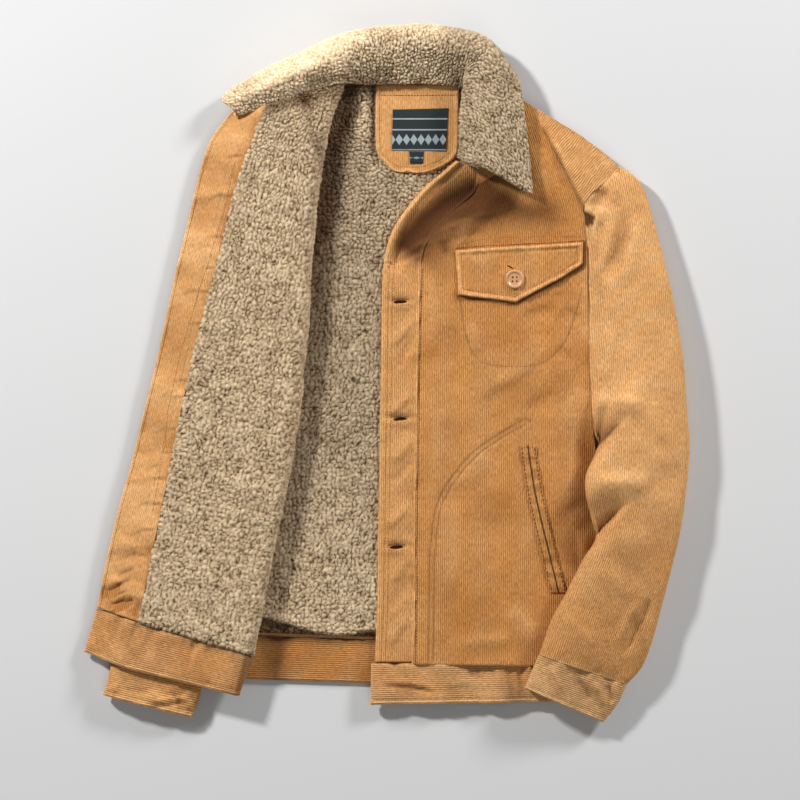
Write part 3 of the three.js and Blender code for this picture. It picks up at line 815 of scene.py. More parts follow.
# At the hem the lining rolls over, with a painted shadow below it.
hem = y - np.interp(x, [-150, -120, -85, -51, -16, 30], [-262, -269.5, -281, -287, -281, -276])
hem += 2.2 * noise(x, y * 0, 9, 15)
z += 1.6 * bell(hem - 3, 4) - 3.2 * ease(-hem / 2.5)
values["painted_shade"] = np.maximum(values["painted_shade"], 0.85 * ease(-hem / 2.5))
z = np.maximum(z, SHELL + 0.4)
lining = build("back_fleece", joined(x, y, z), joined(x, y), values, rim=4.0)
place(lining, FLEECE_CLOTH, ["back_lining"])

# %% [markdown]
# ## Neck facing, label and size tab
# The facing is a brushed patch with a rounded end and a stitched edge. The label and the tab
# lie flat on it.

# %%
NECK_TOP = 11.0        # top of the facing
LABEL_RISE = 1.3       # top of the label over the facing
TAB_RISE = 1.2         # the same for the size tab
neck_rows = table("x1 y1 x2 y2", [
    [18, 221, 30, 221],
    [6, 223.5, 46, 222],
    [-2, 231, 65, 230],
    [-10, 242, 78, 242],
    [-12, 262, 80, 262],
    [-12, 286, 80, 286],
    [-12, 318, 80, 318],
])
x, y, _ = straight_panel(neck_rows, 1.6)
edge = to_edges(x, y)[-1]
z = NECK_TOP - rounded(edge, 1.8) + 1.6 * bell(edge - 3, 2.2) + groove(edge - 4.5, 1.2, 0.5)
z += groove(y - NECK_SEAM_STITCH, 1.4, 0.9) + 0.5 * noise(x, y, 18, 21) * ease(edge / 6)
wear_and_painted_light = 0.6 * fading(edge, 2.5) + 0.3 * fading(np.abs(y - NECK_SEAM_STITCH), 2)
neck = build("neck_panel", joined(x, y, z), joined(x, y), {"wear_and_painted_light": wear_and_painted_light}, rim=2.0)
place(neck, NAPPED, ["neck_facing"])

label_rows = table("x1 y1 x2 y2", [[6, 245, 65, 244.5], [7, 290, 68, 291.5]])
x, y, _ = straight_panel(label_rows, 2.0, fine=0.8)
edge = to_edges(x, y)[-1]
z = NECK_TOP + LABEL_RISE - rounded(edge, 0.5) + 0.35 * noise(x, y, 20, 23)
label = build("woven_label", joined(x, y, z), joined(x - 6, y - 245), rim=1.0)
place(label, LABEL, ["neck_label"])

tab_rows = table("x1 y1 x2 y2", [[26, 231, 40, 231], [25, 244.1, 41, 243.9]])
x, y, _ = straight_panel(tab_rows, 1.4, fine=0.8)
edge = to_edges(x, y)[-1]
z = NECK_TOP + TAB_RISE - rounded(edge, 0.4) + 0.3 * ease((244 - y) / 12)
tab = build("woven_size_tab", joined(x, y, z), joined(x - 25, y - 231), rim=0.8)
place(tab, TAB, ["size_tab"])

# %% [markdown]
# ## The closed front
# The panel swells over its pocket bags, puckers along its seams, and has the folds that the
# sleeve and the collar push into it.

# %%
FRONT_FOLDS = [
    (181, 262, 202, 200, 5, 2.4, 0.5),
    (172, 256, 196, 190, 6, -2.2, 0.0),
    (150, 262, 172, 200, 8, 1.2, 0.2),
    (97, 172, 73, 131, 6, 2.0, 0.3),
    (116, 178, 96, 140, 6, -1.0, 0.0),
    (54, 152, 118, 176, 5, 1.8, 0.3),
    (60, 140, 112, 156, 5, -1.2, 0.0),
    (196, -60, 214, -10, 9, 1.8, 0.4),
    (186, -66, 198, -130, 8, -1.6, 0.3),
    (206, -40, 196, -140, 7, 1.6, -0.3),
    (197, -138, 224, -180, 14, -4.0, 0.2),
    (203, -176, 208, -222, 7, -2.8, 0.2),
    (216, -200, 206, -262, 8, 1.6, 0.2),
    (120, -80, 60, -130, 11, 1.2, 0.2),
    (74, -120, 66, -260, 9, 1.2, 0.3),
    (46, 120, 50, 20, 6, 1.2, 0.2),
    (52, -20, 47, -150, 7, 1.2, -0.2),
    (120, -20, 190, 0, 14, 1.0, 0.0),
    (90, -30, 60, 60, 14, -0.9, 0.0),
    (130, -250, 170, -300, 10, 1.4, 0.2),
    (70, -300, 150, -290, 8, 1.2, 0.0),
    (148, 62, 190, 70, 8, -1.8, 0.3),
    (190, 70, 214, 60, 8, -1.8, 0.3),
    (186, 30, 206, 8, 7, -1.8, 0.3),
    (92, 60, 96, 20, 8, 1.2, 0.0),
    (160, 44, 172, 14, 8, 1.2, 0.0),
    (214, 150, 216, 20, 7, 1.4, 0.2),
    (96, -42, 176, 6, 9, -1.4, 0.2),
    (146, -46, 196, -14, 8, -1.2, 0.2),
    (112, -20, 168, 14, 9, 1.1, 0.0),
]
FLAP_OUTLINE = [
    (79, 85), (116, 80), (141.4, 76.4), (163.4, 88.6), (191, 103), (211, 115), (216, 120),
    (216.5, 144),
]
SHOULDER_CREASE = [(172, 268), (179, 255), (203, 208), (219, 176)]
COLLAR_SHADOW = [(74, 206), (92, 190), (112, 182), (134, 184), (156, 176), (176, 178)]
x, y, _ = straight_panel(FRONT_ROWS, FINE)
left, right, low, _, edge = to_edges(x, y)
hand, hand_s, hand_side = to_line(x, y, HAND_BAG)
chest = to_line(x, y, CHEST_BAG)[0]
z = front_height(x, y) - rounded(edge, 1.6) + 1.3 * folds(x, y, FRONT_FOLDS)
uneven = neck_hollow(x, y) + 1.5 * noise(x, y, 46, 31) * ease(edge / 25)
z += uneven + 0.55 * noise(x, y, 13, 32) * ease(edge / 10)
z += groove(hand, 1.7, 0.9) + groove(hand - 5, 1.7, 0.6) * (hand_side > 0)
z += groove(chest, 1.5, 0.5) + groove(left, 3.0, 1.0)
z += pucker(left, y, 14, 17, 1.1, 33) + pucker(right, y, 10, 15, 0.9, 34) * (y > -60)
z += pucker(hand, hand_s, 9, 12, 0.55, 35) + pucker(low, x, 12, 13, 0.9, 36)
z = np.minimum(z, front_height(x, y) + 3.6)
wear_and_painted_light = 0.5 * fading(edge, 2.5) + 0.22 * fading(hand, 2.2) + 0.12 * fading(chest, 2)
# The ridges of the folds are painted lighter.
wear_and_painted_light += 0.2 * np.clip(folds(x, y, FRONT_FOLDS), 0, 1)
# The ribs lean towards the shoulder, and turn where the panel is folded beside the armhole.
lean = 0.33 * np.clip(y - 140, 0, 60) ** 2 / 120 + 0.33 * np.clip(y - 200, 0, None)
crease, _, crease_side = to_line(x, y, SHOULDER_CREASE)
beyond = (crease_side < 0) & (y > 178)
across = np.where(beyond, 0.95 * (0.78 * x - 0.62 * y) + 0.9 * noise(x, y, 9, 37), x + lean)
# The cloth beyond the crease is painted lighter.
wear_and_painted_light += 0.45 * beyond
# Painted shade in the neckline's valley and under the collar, along the seams and the shoulder crease,
# round the flap and in some folds.
painted_shade = valley_shade(x, y) + 0.35 * fading(np.abs(left - 2.6), 0.9) * ease((128 - y) / 14)
painted_shade += 0.35 * bell(hand, 1.1) + 0.3 * bell(hand - 5.5, 1.1) * (hand_side > 0)
painted_shade += 0.25 * bell(chest, 1.1) + 0.5 * fading(right, 1.5) * (y > -60)
painted_shade += 0.4 * bell(crease, 2.6)
painted_shade += 0.85 * bell(to_line(x, y, FLAP_OUTLINE)[0], 2.4)
painted_shade += folds(x, y, [
    (204, -110, 226, -200, 11, 0.36, 0.0),
    (204, -172, 208, -228, 4, 0.4, 0.0),
    (96, -42, 160, -4, 8, 0.1, 0.0),
    (146, -46, 196, -14, 8, 0.1, 0.0),
    (44, -50, 88, -62, 8, 0.14, 0.0),
    (60, 150, 66, 128, 6, 0.3, 0.0),
])
painted_shade += 0.62 * bell(to_line(x, y, COLLAR_SHADOW)[0], 17)
values = {"wear_and_painted_light": wear_and_painted_light, "painted_shade": np.clip(painted_shade, 0, 0.9)}
front = build("left_front", joined(x, y, z), joined(across, y), values, rim=2.4)
place(front, CORDUROY, ["front_left"])


def in_slit(dx, dy, half_long, half_wide):
    """1 in a slit along X, falling sharply at its ends and softly beside it."""
    return np.exp(-((dx / half_long) ** 4) - (dy / half_wide) ** 2)


BUTTONHOLES = [(15, 79), (15, -49.5), (11, -190)]    # their middles
STRIP_STITCHES = (7, 11.5)    # two rows, from the front edge
FRONT_SEAM = 3.4              # from the strip's inner edge to the row of stitches there
x, y, t = straight_panel(strip_rows, 1.3)
left, right, low, high, _ = to_edges(x, y)
top_end = ease((y - 205) / 15)
z = STRIP_TOP - 1.5 * (1 - ease(t[None, :] / 0.25)) + 2.4 * (1 - t[None, :]) * top_end
z -= rounded(left, 3.0) + rounded(np.minimum(low, high), 2)
rim = ease((y - 108) / 20)
z += neck_hollow(x, y) + 1.4 * rim_roll(left) * rim
grooves = groove(left - STRIP_STITCHES[0], 1.3, 0.6) + groove(left - STRIP_STITCHES[1], 1.4, 0.7)
z += grooves + groove(right - FRONT_SEAM, 1.8, 1.0)
z += pucker(left, y, 9, 15, 1.0, 41) + pucker(right, y, 12, 15, 1.3, 42) + 0.7 * noise(x, y, 24, 43)
z += 1.6 * folds(x, y, [
    (30, 60, 2, 28, 5, 1.3, 0.3),
    (32, 44, 8, 2, 5, -1.1, 0.2),
    (30, -20, 0, -46, 5, 1.2, 0.3),
    (32, -64, 4, -100, 6, 1.2, 0.2),
    (30, -92, 2, -124, 5, -1.0, 0.2),
    (28, -138, 0, -170, 5, 1.2, 0.3),
    (28, -196, 2, -232, 6, 1.2, 0.3),
    (28, -222, 0, -262, 6, -1.0, 0.2),
    (26, -262, -2, -300, 6, 1.2, 0.3),
    (10, 124, 50, 148, 4, 1.8, 0.3),
    (12, 114, 44, 132, 4, 1.2, 0.3),
])
z += 1.4 * bell(y - 122, 2.6) * (x < 8) - 2.2 * bell(y - 121.5, 1.4) * (x < 6)
# Painted shade lies in the neckline's valley beside the roll. Each buttonhole has a worn lip all round, a
# swelling below it and a hollow above it, with painted shade in the slit and in the hollow.
lips = 0 * x
painted_shade = valley_shade(x, y) * ease((left - 6.8) / 2.2)
for hole_x, hole_y in BUTTONHOLES:
    dx, dy = x - hole_x, y - hole_y
    lips += in_slit(dx, np.abs(dy - 0.4) - 3.2, 10, 1.1)
    z += bell(dx, 13) * (1.2 * bell(dy + 5, 3.5) - 2.0 * bell(dy - 2.2, 3.4))
    z -= 2.0 * in_slit(dx, dy, 8, 1.3)
    painted_shade = np.maximum(painted_shade, 0.9 * in_slit(dx, dy, 7.5, 1.6))
    painted_shade = np.maximum(painted_shade, 0.35 * np.exp(-((dx / 11) ** 2) - ((dy - 3.6) / 2) ** 2))
# Worn edges and seams, lighter all over, and a painted highlight along the roll at the neckline.
wear_and_painted_light = 0.6 * fading(left, 2.5) + 0.35 * fading(right, 2) + 0.15 * fading(np.abs(left - 10), 2) + 0.25
wear_and_painted_light += 0.4 * bell(left - 3.6, 2.5) * rim + 0.5 * lips
values = {"wear_and_painted_light": wear_and_painted_light, "painted_shade": painted_shade}
strip = build("buttonhole_strip", joined(x, y, z), joined(x, y), values, rim=3.4)
place(strip, CORDUROY, ["front_strip"])

front_band_rows = table("x1 y1 x2 y2", [
    [-18, -363, 241, -359],
    [-17.5, -352, 241, -350],
    [-17, -332, 241, -332],
    [-17, -317, 241, -319],
])
x, y, _ = straight_panel(front_band_rows, 1.7)
_, _, low, high, edge = to_edges(x, y)
z = band_height(x) - rounded(edge, 2.4) + groove(low - HEM_STITCH, 1.6, 0.8) + 0.8 * noise(x, y, 26, 51)
z += pucker(high, x + 0.2 * y, 28, 12, 4.8, 52) + pucker(low, x, 16, 17, 2.6, 53)
z += folds(x, y, [
    (-12, -341, 60, -350, 2.2, -2.4, 0.3),
    (2, -338, 50, -344, 5, 1.6, 0.3),
    (60, -345, 140, -340, 7, 0.9, 0),
    (150, -330, 176, -352, 6, 1.2, 0.2),
])
wear_and_painted_light = 0.15 + 0.55 * fading(edge, 2.6) + 0.25 * fading(np.abs(low - HEM_STITCH), 2)
# Painted shade in two folds and along the top edge.
shade = folds(x, y, [(-12, -341, 60, -350, 1.7, 0.8, 0.0), (60, -346, 100, -340, 2.5, 0.3, 0.0)])
values = {"wear_and_painted_light": wear_and_painted_light, "painted_shade": np.clip(shade + 0.45 * bell(high, 1.4), 0, 0.9)}
band = build("left_band", joined(x, y, z), joined(low, x), values, rim=4.4)
place(band, BAND_CLOTH, ["hem_band_left"])

# %% [markdown]
# ## Chest flap and hand pocket edges
# The flap is folded cloth whose edge is a stitched roll, lifted a little at its seam. The
# pocket edges are two narrow welts, which follow the slanted slit between them.

# %%
FLAP_RISE = 3.3        # top of the flap over the front
FLAP_STITCH = 6        # from the flap's edge to the dent of its stitches
flap_rows = table("x1 y1 x2 y2", [
    [75.4, 135.3, 79, 86.4],
    [92, 136.4, 95, 84],
    [114, 138, 116, 81.6],
    [141.4, 139.7, 141.4, 78.2],
    [163.4, 140.8, 163.4, 90.2],
    [191, 142.5, 191, 104.5],
    [210, 143.6, 210, 117],
    [215, 144, 214.6, 121],
])
x, y, _ = straight_panel(flap_rows, 1.5, straight=True)
left, right, low, high, edge = to_edges(x, y)
three_edges = np.minimum.reduce([right, low, high])
z = front_height(x, y) + FLAP_RISE - rounded(three_edges, 1.3) - rounded(left, 2.4)
z += 1.6 * ease(1 - high / 24) + 0.8 * ease(1 - right / 12) - 1.6 * bell(low, 3)
z += groove(edge - FLAP_STITCH, 1.6, 1.2) + 1.1 * noise(x, y, 20, 61) + pucker(edge, x + y, 8, 11, 1.3, 62)
z += 0.9 * bell(edge - 2.6, 2.2)
z += 0.8 * ease(1 - left / 14) + folds(x, y, [
    (100, 128, 112, 96, 6, 1.0, 0.2),
    (176, 132, 170, 108, 6, 0.7, 0),
])
wear_and_painted_light = 0.12 + 0.55 * bell(edge - 2.4, 2.4) + 0.1 * noise(x, y, 14, 63)
flap = build("pocket_flap", joined(x, y, z), joined(x, y), {"wear_and_painted_light": wear_and_painted_light}, rim=3.4)
place(flap, CORDUROY, ["chest_flap"])

welts = []
for name, node_name, start, end in (
    ("pocket_welt_front", "pocket_edge_front", -8.6, -0.5),
    ("pocket_welt_side", "pocket_edge_side", 0.5, 8.6),
):
    slit = smooth_rows(POCKET_SLIT, 110)
    place_across = stops(7, 0.9, 1.4)
    x = slit["x"] + start + (end - start) * place_across[None, :]
    y = slit["y"] + 0 * x
    left, right, _, _, edge = to_edges(x, y)
    inner = right if start < 0 else left
    z = front_height(x, y) + folds(x, y, FRONT_FOLDS) + 1.5 - rounded(edge, 1.0) + 0.5 * fading(inner, 1.6)
    z += pucker(x * 0, y, 9, 6, 0.8, 71) + 0.25 * noise(x, y, 5, 72)
    wear_and_painted_light = 0.35 * fading(inner, 1.2)
    # Painted shade in the slit beside the inner edge, patchy along it.
    shut = np.clip(0.5 - 0.5 * noise(y, x * 0, 4.5, 73 if start < 0 else 74), 0, 1) ** 2
    slit_shade = 0.9 * fading(inner, 0.5) + 0.4 * shut
    values = {"wear_and_painted_light": wear_and_painted_light, "painted_shade": np.clip(slit_shade, 0, 1)}
    welt = build(name, joined(x, y, z), joined(x, y), values, rim=1.3)
    welts.append(welt)
    place(welt, CORDUROY, [node_name])

# %% [markdown]
# ## Sleeves and cuffs
# A sleeve is a flattened tube. `tube` works out its rings from the same rows as the solid:
# both edges, the height, what is under the inner edge, and how far a ring follows the armhole.

# %%
def body_top(x, y):
    """Top of the closed front and its band where the sleeve lies on them, and 0 beside them."""
    side = np.interp(y, SIDE_SEAM[:, 0], SIDE_SEAM[:, 1])
    top = np.where(y < -330, band_height(x), front_height(np.minimum(x, side), y))
    past = np.maximum(np.clip((x - side - 5) / 8, 0, 1), np.clip((-364 - y) / 8, 0, 1))
    return lerp(top, 0, np.maximum(past, ease((y + 76) / 18)))


def support(x, y):
    """What the left sleeve rests on: the highest place near each point."""
    near = [body_top(x + dx, y + dy) for dx in (-10, 0, 10) for dy in (-9, 0, 9)]
    top = np.maximum.reduce(near)
    return np.where(top > 0, top + 1.2, 0)


def tube(source, rings, upper, lower, armhole, rest_on, inset=0.0, wall=3.0):
    """Ring points of a tube: `upper` places over the top, then `lower` places underneath."""
    r = smooth_rows(source, rings)
    over_top = np.linspace(0, math.pi, upper, endpoint=False)
    underneath = np.linspace(math.pi, 2 * math.pi, lower, endpoint=False)
    turn = np.concatenate([over_top, underneath])
    t = 0.5 - 0.5 * np.cos(turn)[None, :]
    dome = (np.abs(np.sin(turn)) ** 0.55 * np.sign(np.sin(turn)))[None, :]
    width = np.hypot(r["x2"] - r["x1"], r["y2"] - r["y1"])
    t_in = lerp(t, 0.5, 2 * inset / width)
    x = lerp(r["x1"], r["x2"], t_in)
    y = lerp(r["y1"], r["y2"], t_in)
    seam = armhole["rows"]
    fine = smooth_rows(armhole, 80)
    seam_y = lerp(seam[0, 0], seam[-1, 0], t_in)
    bow = np.interp(seam_y, fine["y"][:, 0], fine["x"][:, 0]) - lerp(seam[0, 1], seam[-1, 1], t_in)
    x = x + r["curve"] * bow
    middle = r["height"] / 2 + r["rest"] * (1 - ease((t - 0.15) / 0.8))
    under = (np.arange(len(turn)) > upper)[None, :]
    ends = np.isin(np.arange(len(turn)), (0, upper))[None, :]
    ground = rest_on(x, y)
    z = middle + r["height"] / 2 * dome
    z = np.where(under, np.maximum(lerp(middle, 0, -dome), ground), z)
    z = np.where(ends, np.maximum(z, ground + wall * 1.2), z)
    if inset > 0:
        z = z + np.where(ends, 0, np.where(under, wall, -wall))
    return x, y, z, t, under


def tube_uv(x, y, z):
    """U round the tube and V along it."""
    around = np.sqrt(np.diff(x, axis=1) ** 2 + np.diff(y, axis=1) ** 2 + np.diff(z, axis=1) ** 2)
    u = np.concatenate([np.zeros((len(x), 1)), np.cumsum(around, axis=1)], axis=1)
    half = u.shape[1] // 2
    step = np.hypot(np.diff(x[:, half]), np.diff(y[:, half]))
    v = np.concatenate([[0], np.cumsum(step)])[:, None] + 0 * u
    return u, v


SLEEVE_FOLDS = [
    (228, 206, 252, 226, 6, 2.4, 0.2),
    (221, 204, 244, 190, 8, -4.2, 0.3),
    (216, 184, 226, 164, 4, -4.0, 0.3),
    (224, 196, 236, 160, 5, 2.6, 0.3),
    (264, 184, 242, 96, 8, -3.4, 0.4),
    (250, 176, 230, 104, 6, 2.4, 0.3),
    (276, 176, 258, 90, 9, 2.0, 0.2),
    (292, 150, 300, 60, 12, 1.2, 0.0),
    (232, 110, 226, 30, 6, -2.2, 0.3),
    (244, 60, 238, -14, 8, 2.2, 0.3),
    (226, 20, 224, -40, 6, -2.0, 0.2),
    (262, 10, 300, -90, 15, 1.6, 0.2),
    (212, -32, 286, -34, 10, 4.2, 0.2),
    (240, -16, 262, -58, 9, -1.4, 0.2),
    (212, -121, 292, -119, 11, 3.6, 0.2),
    (262, -64, 310, -108, 12, 1.6, 0.2),
    (290, -60, 318, -140, 11, -1.6, 0.0),
    (240, -170, 300, -196, 12, 1.1, 0.2),
    (226, -190, 290, -232, 12, -0.8, 0.2),
    (216, -206, 286, -254, 12, 1.2, 0.3),
    (200, -244, 262, -296, 11, -0.9, 0.0),
    (190, -262, 230, -300, 8, 1.2, 0.2),
    (250, -300, 278, -244, 6, 1.8, 0.2),
    (258, -312, 292, -240, 4, -2.4, 0.3),
]
TUCKS = [
    (213, -97, 266, -42, 14),
    (218, -186, 266, -136, 13),
]


def tucks(x, y):
    """Sharp valleys with one long gentle side and one steep side."""
    height = np.zeros(np.shape(x))
    for x0, y0, x1, y1, depth in TUCKS:
        s, d, _ = from_line(x, y, x0, y0, x1, y1)
        fade = ease(np.clip(s + 0.15, 0, 1) / 0.15) * ease((1 - np.clip(s, 0, 1)) / 0.55)
        height -= depth * fade * np.where(d < 0, np.exp(d / 13), fading(d, 2.2))
    return height


sleeve_rows = table("x1 y1 x2 y2 height rest curve", [
    [226.4, -58, 255.4, 228, 22, 0, 1],
    [229, -68, 280, 206, 28, 0, 0.78],
    [233, -78, 299, 144, 33, 0, 0.5],
    [227, -91, 315, 76, 36, 8, 0.22],
    [218, -110, 325, 15, 37, 17, 0.06],
    [217, -130, 329, -40, 37, 19, 0],
    [223, -156, 332, -84, 36, 19, 0],
    [228, -180, 328, -128, 35, 18, 0],
    [216, -200, 322, -172, 34, 19, 0],
    [205, -221, 311, -218, 33, 19, 0],
    [194, -243, 301, -257, 31, 19, 0],
    [181, -266, 291, -293, 30, 19, 0],
    [173, -288, 280, -321, 28, 19, 0],
    [167, -306, 263.4, -340, 26, 19, 0],
])
SLEEVE_UPPER = 90      # places over the top of a ring
x, y, z, t, under = tube(sleeve_rows, 260, SLEEVE_UPPER, 30, ARMHOLE_LEFT, support)
u, v = tube_uv(x, y, z)
centre_line = curve([
    (252, 240), (264, 160), (272, 60), (277, -40), (275, -120), (262, -190), (242, -245),
    (212, -330),
], 12)
off_centre, grain_along, off_side = to_line(x, y, centre_line)
# Where the cloth turns down at the sides, its ribs go on at the same spacing.
flat_step = np.hypot(np.diff(x, axis=1), np.diff(y, axis=1))
true_step = np.sqrt(flat_step ** 2 + np.diff(z, axis=1) ** 2)
turned = np.concatenate([np.zeros((len(x), 1)), np.cumsum(true_step - flat_step, axis=1)], axis=1)
turned = turned - turned[:, [SLEEVE_UPPER // 2]]
grain = joined(off_centre * off_side - turned, grain_along)
top_only = np.where(under, 0, 1) * ease(np.minimum(t, 1 - t) / 0.04)
end = v[-1:, :] - v
relief = 1.45 * folds(x, y, SLEEVE_FOLDS) + tucks(x, y) + 1.3 * noise(x, y, 40, 81)
z = z + top_only * (relief + 0.4 * noise(x, y, 14, 82))
z = z + top_only * (pucker(v, u, 14, 13, 1.4, 83) + pucker(end, u, 12, 11, 1.0, 84))
# At the armhole the sleeve starts on the front's own surface and swells from there.
seam_top = front_height(np.minimum(x, 258), y) - 1.2 + 2.2 * ease(v / 5)
z = np.where(under, z, lerp(np.minimum(z, seam_top), z, ease((v - 2) / 16)))
# Worn ends; the upper sleeve and the ridges of the folds are painted lighter, a painted highlight.
wear_and_painted_light = lerp(0.3, 0.6, ease((y + 250) / 140)) + 0.5 * fading(v, 3) + 0.4 * fading(end, 3)
wear_and_painted_light += 0.3 * np.clip(folds(x, y, SLEEVE_FOLDS) / 3, 0, 1)
# Painted shade in folds, in a small notch by the armhole and in the tucks.
painted_shade = folds(x, y, [
    (264, 172, 241, 108, 5.5, 0.34, 0.0),
    (240, 208, 220, 182, 7, 0.5, 0.0),
    (256, 200, 246, 184, 6, 0.2, 0.0),
    (208, -70, 262, -52, 11, 0.3, 0.0),
    (206, -150, 262, -138, 11, 0.3, 0.0),
    (262, -250, 284, -310, 6, 0.25, 0.0),
])
painted_shade = np.maximum(painted_shade, 0.95 * within(x, y, [(215, 178), (216.5, 161), (226, 163), (229, 174)], 1.2))
painted_shade += 0.75 * np.clip(-tucks(x, y) / 10 - 0.45, 0, 1)
# A raised lip along the armhole seam and a ridge down from it, each with a painted highlight.
wear_and_painted_light += folds(x, y, [(208, 180.5, 250, 176, 2.2, 1.6, 0.0), (229, 180, 225, 146, 2.2, 1.2, 0.0)])
z += folds(x, y, [(208, 181, 250, 177, 2.6, 2.4, 0.0), (230, 180, 226, 146, 2.4, 2.0, 0.0)]) * top_only
values = {"wear_and_painted_light": wear_and_painted_light, "painted_shade": np.clip(painted_shade, 0, 0.9)}
sleeve = build("left_sleeve", joined(x, y, z), grain, values, close=True)
place(sleeve, CORDUROY, ["sleeve_left"])

cuff_rows = table("x1 y1 x2 y2 height rest curve", [
    [167.4, -304.8, 264.2, -338.6, 25, 19, 0],
    [158, -326, 254, -360, 24, 16, 0],
    [151, -343, 238, -382, 22, 16, 0],
])
CUFF_FOLDS = [
    (176, -316, 192, -350, 5, 1.2, 0.2),
    (206, -330, 224, -360, 5, -1.4, 0.2),
    (226, -334, 240, -366, 4, 1.8, 0.3),
    (240, -338, 248, -362, 4, -1.6, 0.0),
]
right_cuff_rows = table("x1 y1 x2 y2 height rest curve", [
    [-201.4, -337.2, -301.6, -317, 20, 0, 0],
    [-206, -359, -306, -337, 21, 0, 0],
    [-214, -377, -311, -352, 20, 0, 0],
])
RIGHT_CUFF_FOLDS = [
    (-262, -360, -214, -354, 2.6, 0.9, 0.3),
    (-256, -367, -214, -360, 2.4, -0.9, 0.0),
    (-292, -346, -250, -352, 4, -0.6, 0.0),
    (-290, -330, -300, -350, 4, 1.0, 0.2),
    (-262, -346, -238, -366, 5, 1.2, 0.3),
    (-236, -346, -220, -372, 4, -1.4, 0.2),
    (-224, -350, -212, -368, 4, 1.2, 0.0),
]


CUFF_STITCH = 5.5      # from a cuff's edge to its row of stitches
CUFF_GRID = (34, 70, 30)  # rings, places over the top, places underneath


def cuff(name, node_name, source, armhole, rest_on, fold_rows, seed, cloth):
    """A cuff with an outer and an inner wall."""
    x, y, z, t, under = tube(source, *CUFF_GRID, armhole, rest_on)
    xi, yi, zi = tube(source, *CUFF_GRID, armhole, rest_on, inset=4.0, wall=4.0)[:3]
    u, v = tube_uv(x, y, z)
    end = v[-1:, :] - v
    top_only = np.where(under, 0, 1) * ease(np.minimum(t, 1 - t) / 0.04)
    z = z - np.where(under, 0, 1) * (rounded(end, 1.8) + rounded(v, 1.2))
    relief = 1.7 * folds(x, y, fold_rows) + groove(end - CUFF_STITCH, 1.5, 0.8)
    z = z + top_only * (relief + 0.6 * noise(x, y, 18, seed))
    z = z + top_only * (pucker(v, u, 18, 12, 1.7, seed + 1) + pucker(end, u, 10, 12, 1.0, seed + 2))
    wear_and_painted_light = 0.45 + 0.5 * fading(end, 2.5) + 0.4 * fading(v, 2.5)
    wear_and_painted_light = wear_and_painted_light + 0.25 * fading(np.abs(end - CUFF_STITCH), 2)
    # Painted shade where the cuff meets the sleeve, along its row of stitches and in its folds.
    shade = 0.6 * bell(v, 1.6) + 0.3 * bell(end - 4.6, 0.9)
    shade += 0.2 * np.clip(-folds(x, y, fold_rows), 0, 1)
    outer = joined(x, y, z)
    inner = joined(xi, yi, zi)
    piece = build(name, outer, joined(v, u), {"wear_and_painted_light": wear_and_painted_light, "painted_shade": shade}, close=True, under=inner)
    return place(piece, cloth, [node_name])


def on_floor(x, y):
    """What the right sleeve rests on."""
    return 0 * (x + y)


cuff("left_cuff", "cuff_left", cuff_rows, ARMHOLE_LEFT, support, CUFF_FOLDS, 91, BAND_CLOTH)
cuff(
    "right_cuff", "cuff_right", right_cuff_rows, ARMHOLE_RIGHT, on_floor, RIGHT_CUFF_FOLDS, 95,
    CORDUROY,
)

right_sleeve_rows = table("x1 y1 x2 y2 height rest curve", [
    [-181.8, -80, -182.8, 224, 18, 0, 1],
    [-183.4, -95, -194, 175, 20, 0, 0.7],
    [-184, -108, -203, 120, 21, 0, 0.4],
    [-185, -122, -213, 65, 21, 0, 0.18],
    [-186, -135, -225, 10, 21, 0, 0.05],
    [-187, -150, -239, -45, 21, 0, 0],
    [-188, -170, -251, -95, 21, 0, 0],
    [-189, -195, -262, -145, 21, 0, 0],
    [-190, -222, -272, -195, 21, 0, 0],
    [-192, -255, -283, -240, 21, 0, 0],
    [-195, -290, -293, -283, 21, 0, 0],
    [-201, -336.4, -301, -316, 21, 0, 0],
])
x, y, z = tube(right_sleeve_rows, 90, 30, 20, ARMHOLE_RIGHT, on_floor)[:3]
u, v = tube_uv(x, y, z)
right_sleeve = build("right_sleeve", joined(x, y, z), joined(u, v), {"wear_and_painted_light": 0 * x}, close=True)
place(right_sleeve, CORDUROY, ["sleeve_right"])

# %% [markdown]
# ## The opened front
# Its rows run from the free edge, past the facing, round the fold and back to the side seam.
# `open_point` gives any place on it, at any height over the corduroy's middle. In the table,
# a is the free edge, l the facing's inner edge, b the fold and s the side seam.

# %%
open_rows = table("ax ay lx ly bx by sx sy sz", [
    [-317.8, -256.4, -270.8, -271.3, -144.8, -308.3, -180.6, -285, 8],
    [-307, -202, -259, -213, -133, -246, -180.6, -238, 3.9],
    [-294, -147, -247, -155, -121, -184, -180.6, -180, 3.9],
    [-280, -97, -236, -101, -108, -122, -180, -128, 3.9],
    [-267, -44, -225, -46, -97, -59, -176, -80, 3.9],
    [-255, 4, -215, 3, -90, 3, -163, -20, 3.9],
    [-243, 57, -201, 62, -84, 65, -155, 40, 3.9],
    [-232, 110, -186, 117, -81, 128, -152, 90, 3.9],
    [-218, 167, -172, 176, -75, 189, -153, 135, 3.9],
    [-206, 219, -156, 229, -66, 249, -158, 172, 3.9],
    [-193, 257, -142, 265, -57, 286, -165, 200, 3.9],
    [-171, 287, -129, 298, -43, 321, -168, 226, 3.9],
])
open_band_rows = table("ax ay lx ly bx by sx sy sz", [
    [-332, -305, -285, -322, -157, -354, -180.6, -332, 10],
    [-325, -281, -278, -298, -151, -332, -180.6, -309, 10],
    [-318, -257.2, -271, -272.1, -145, -309.1, -180.6, -287, 10],
])


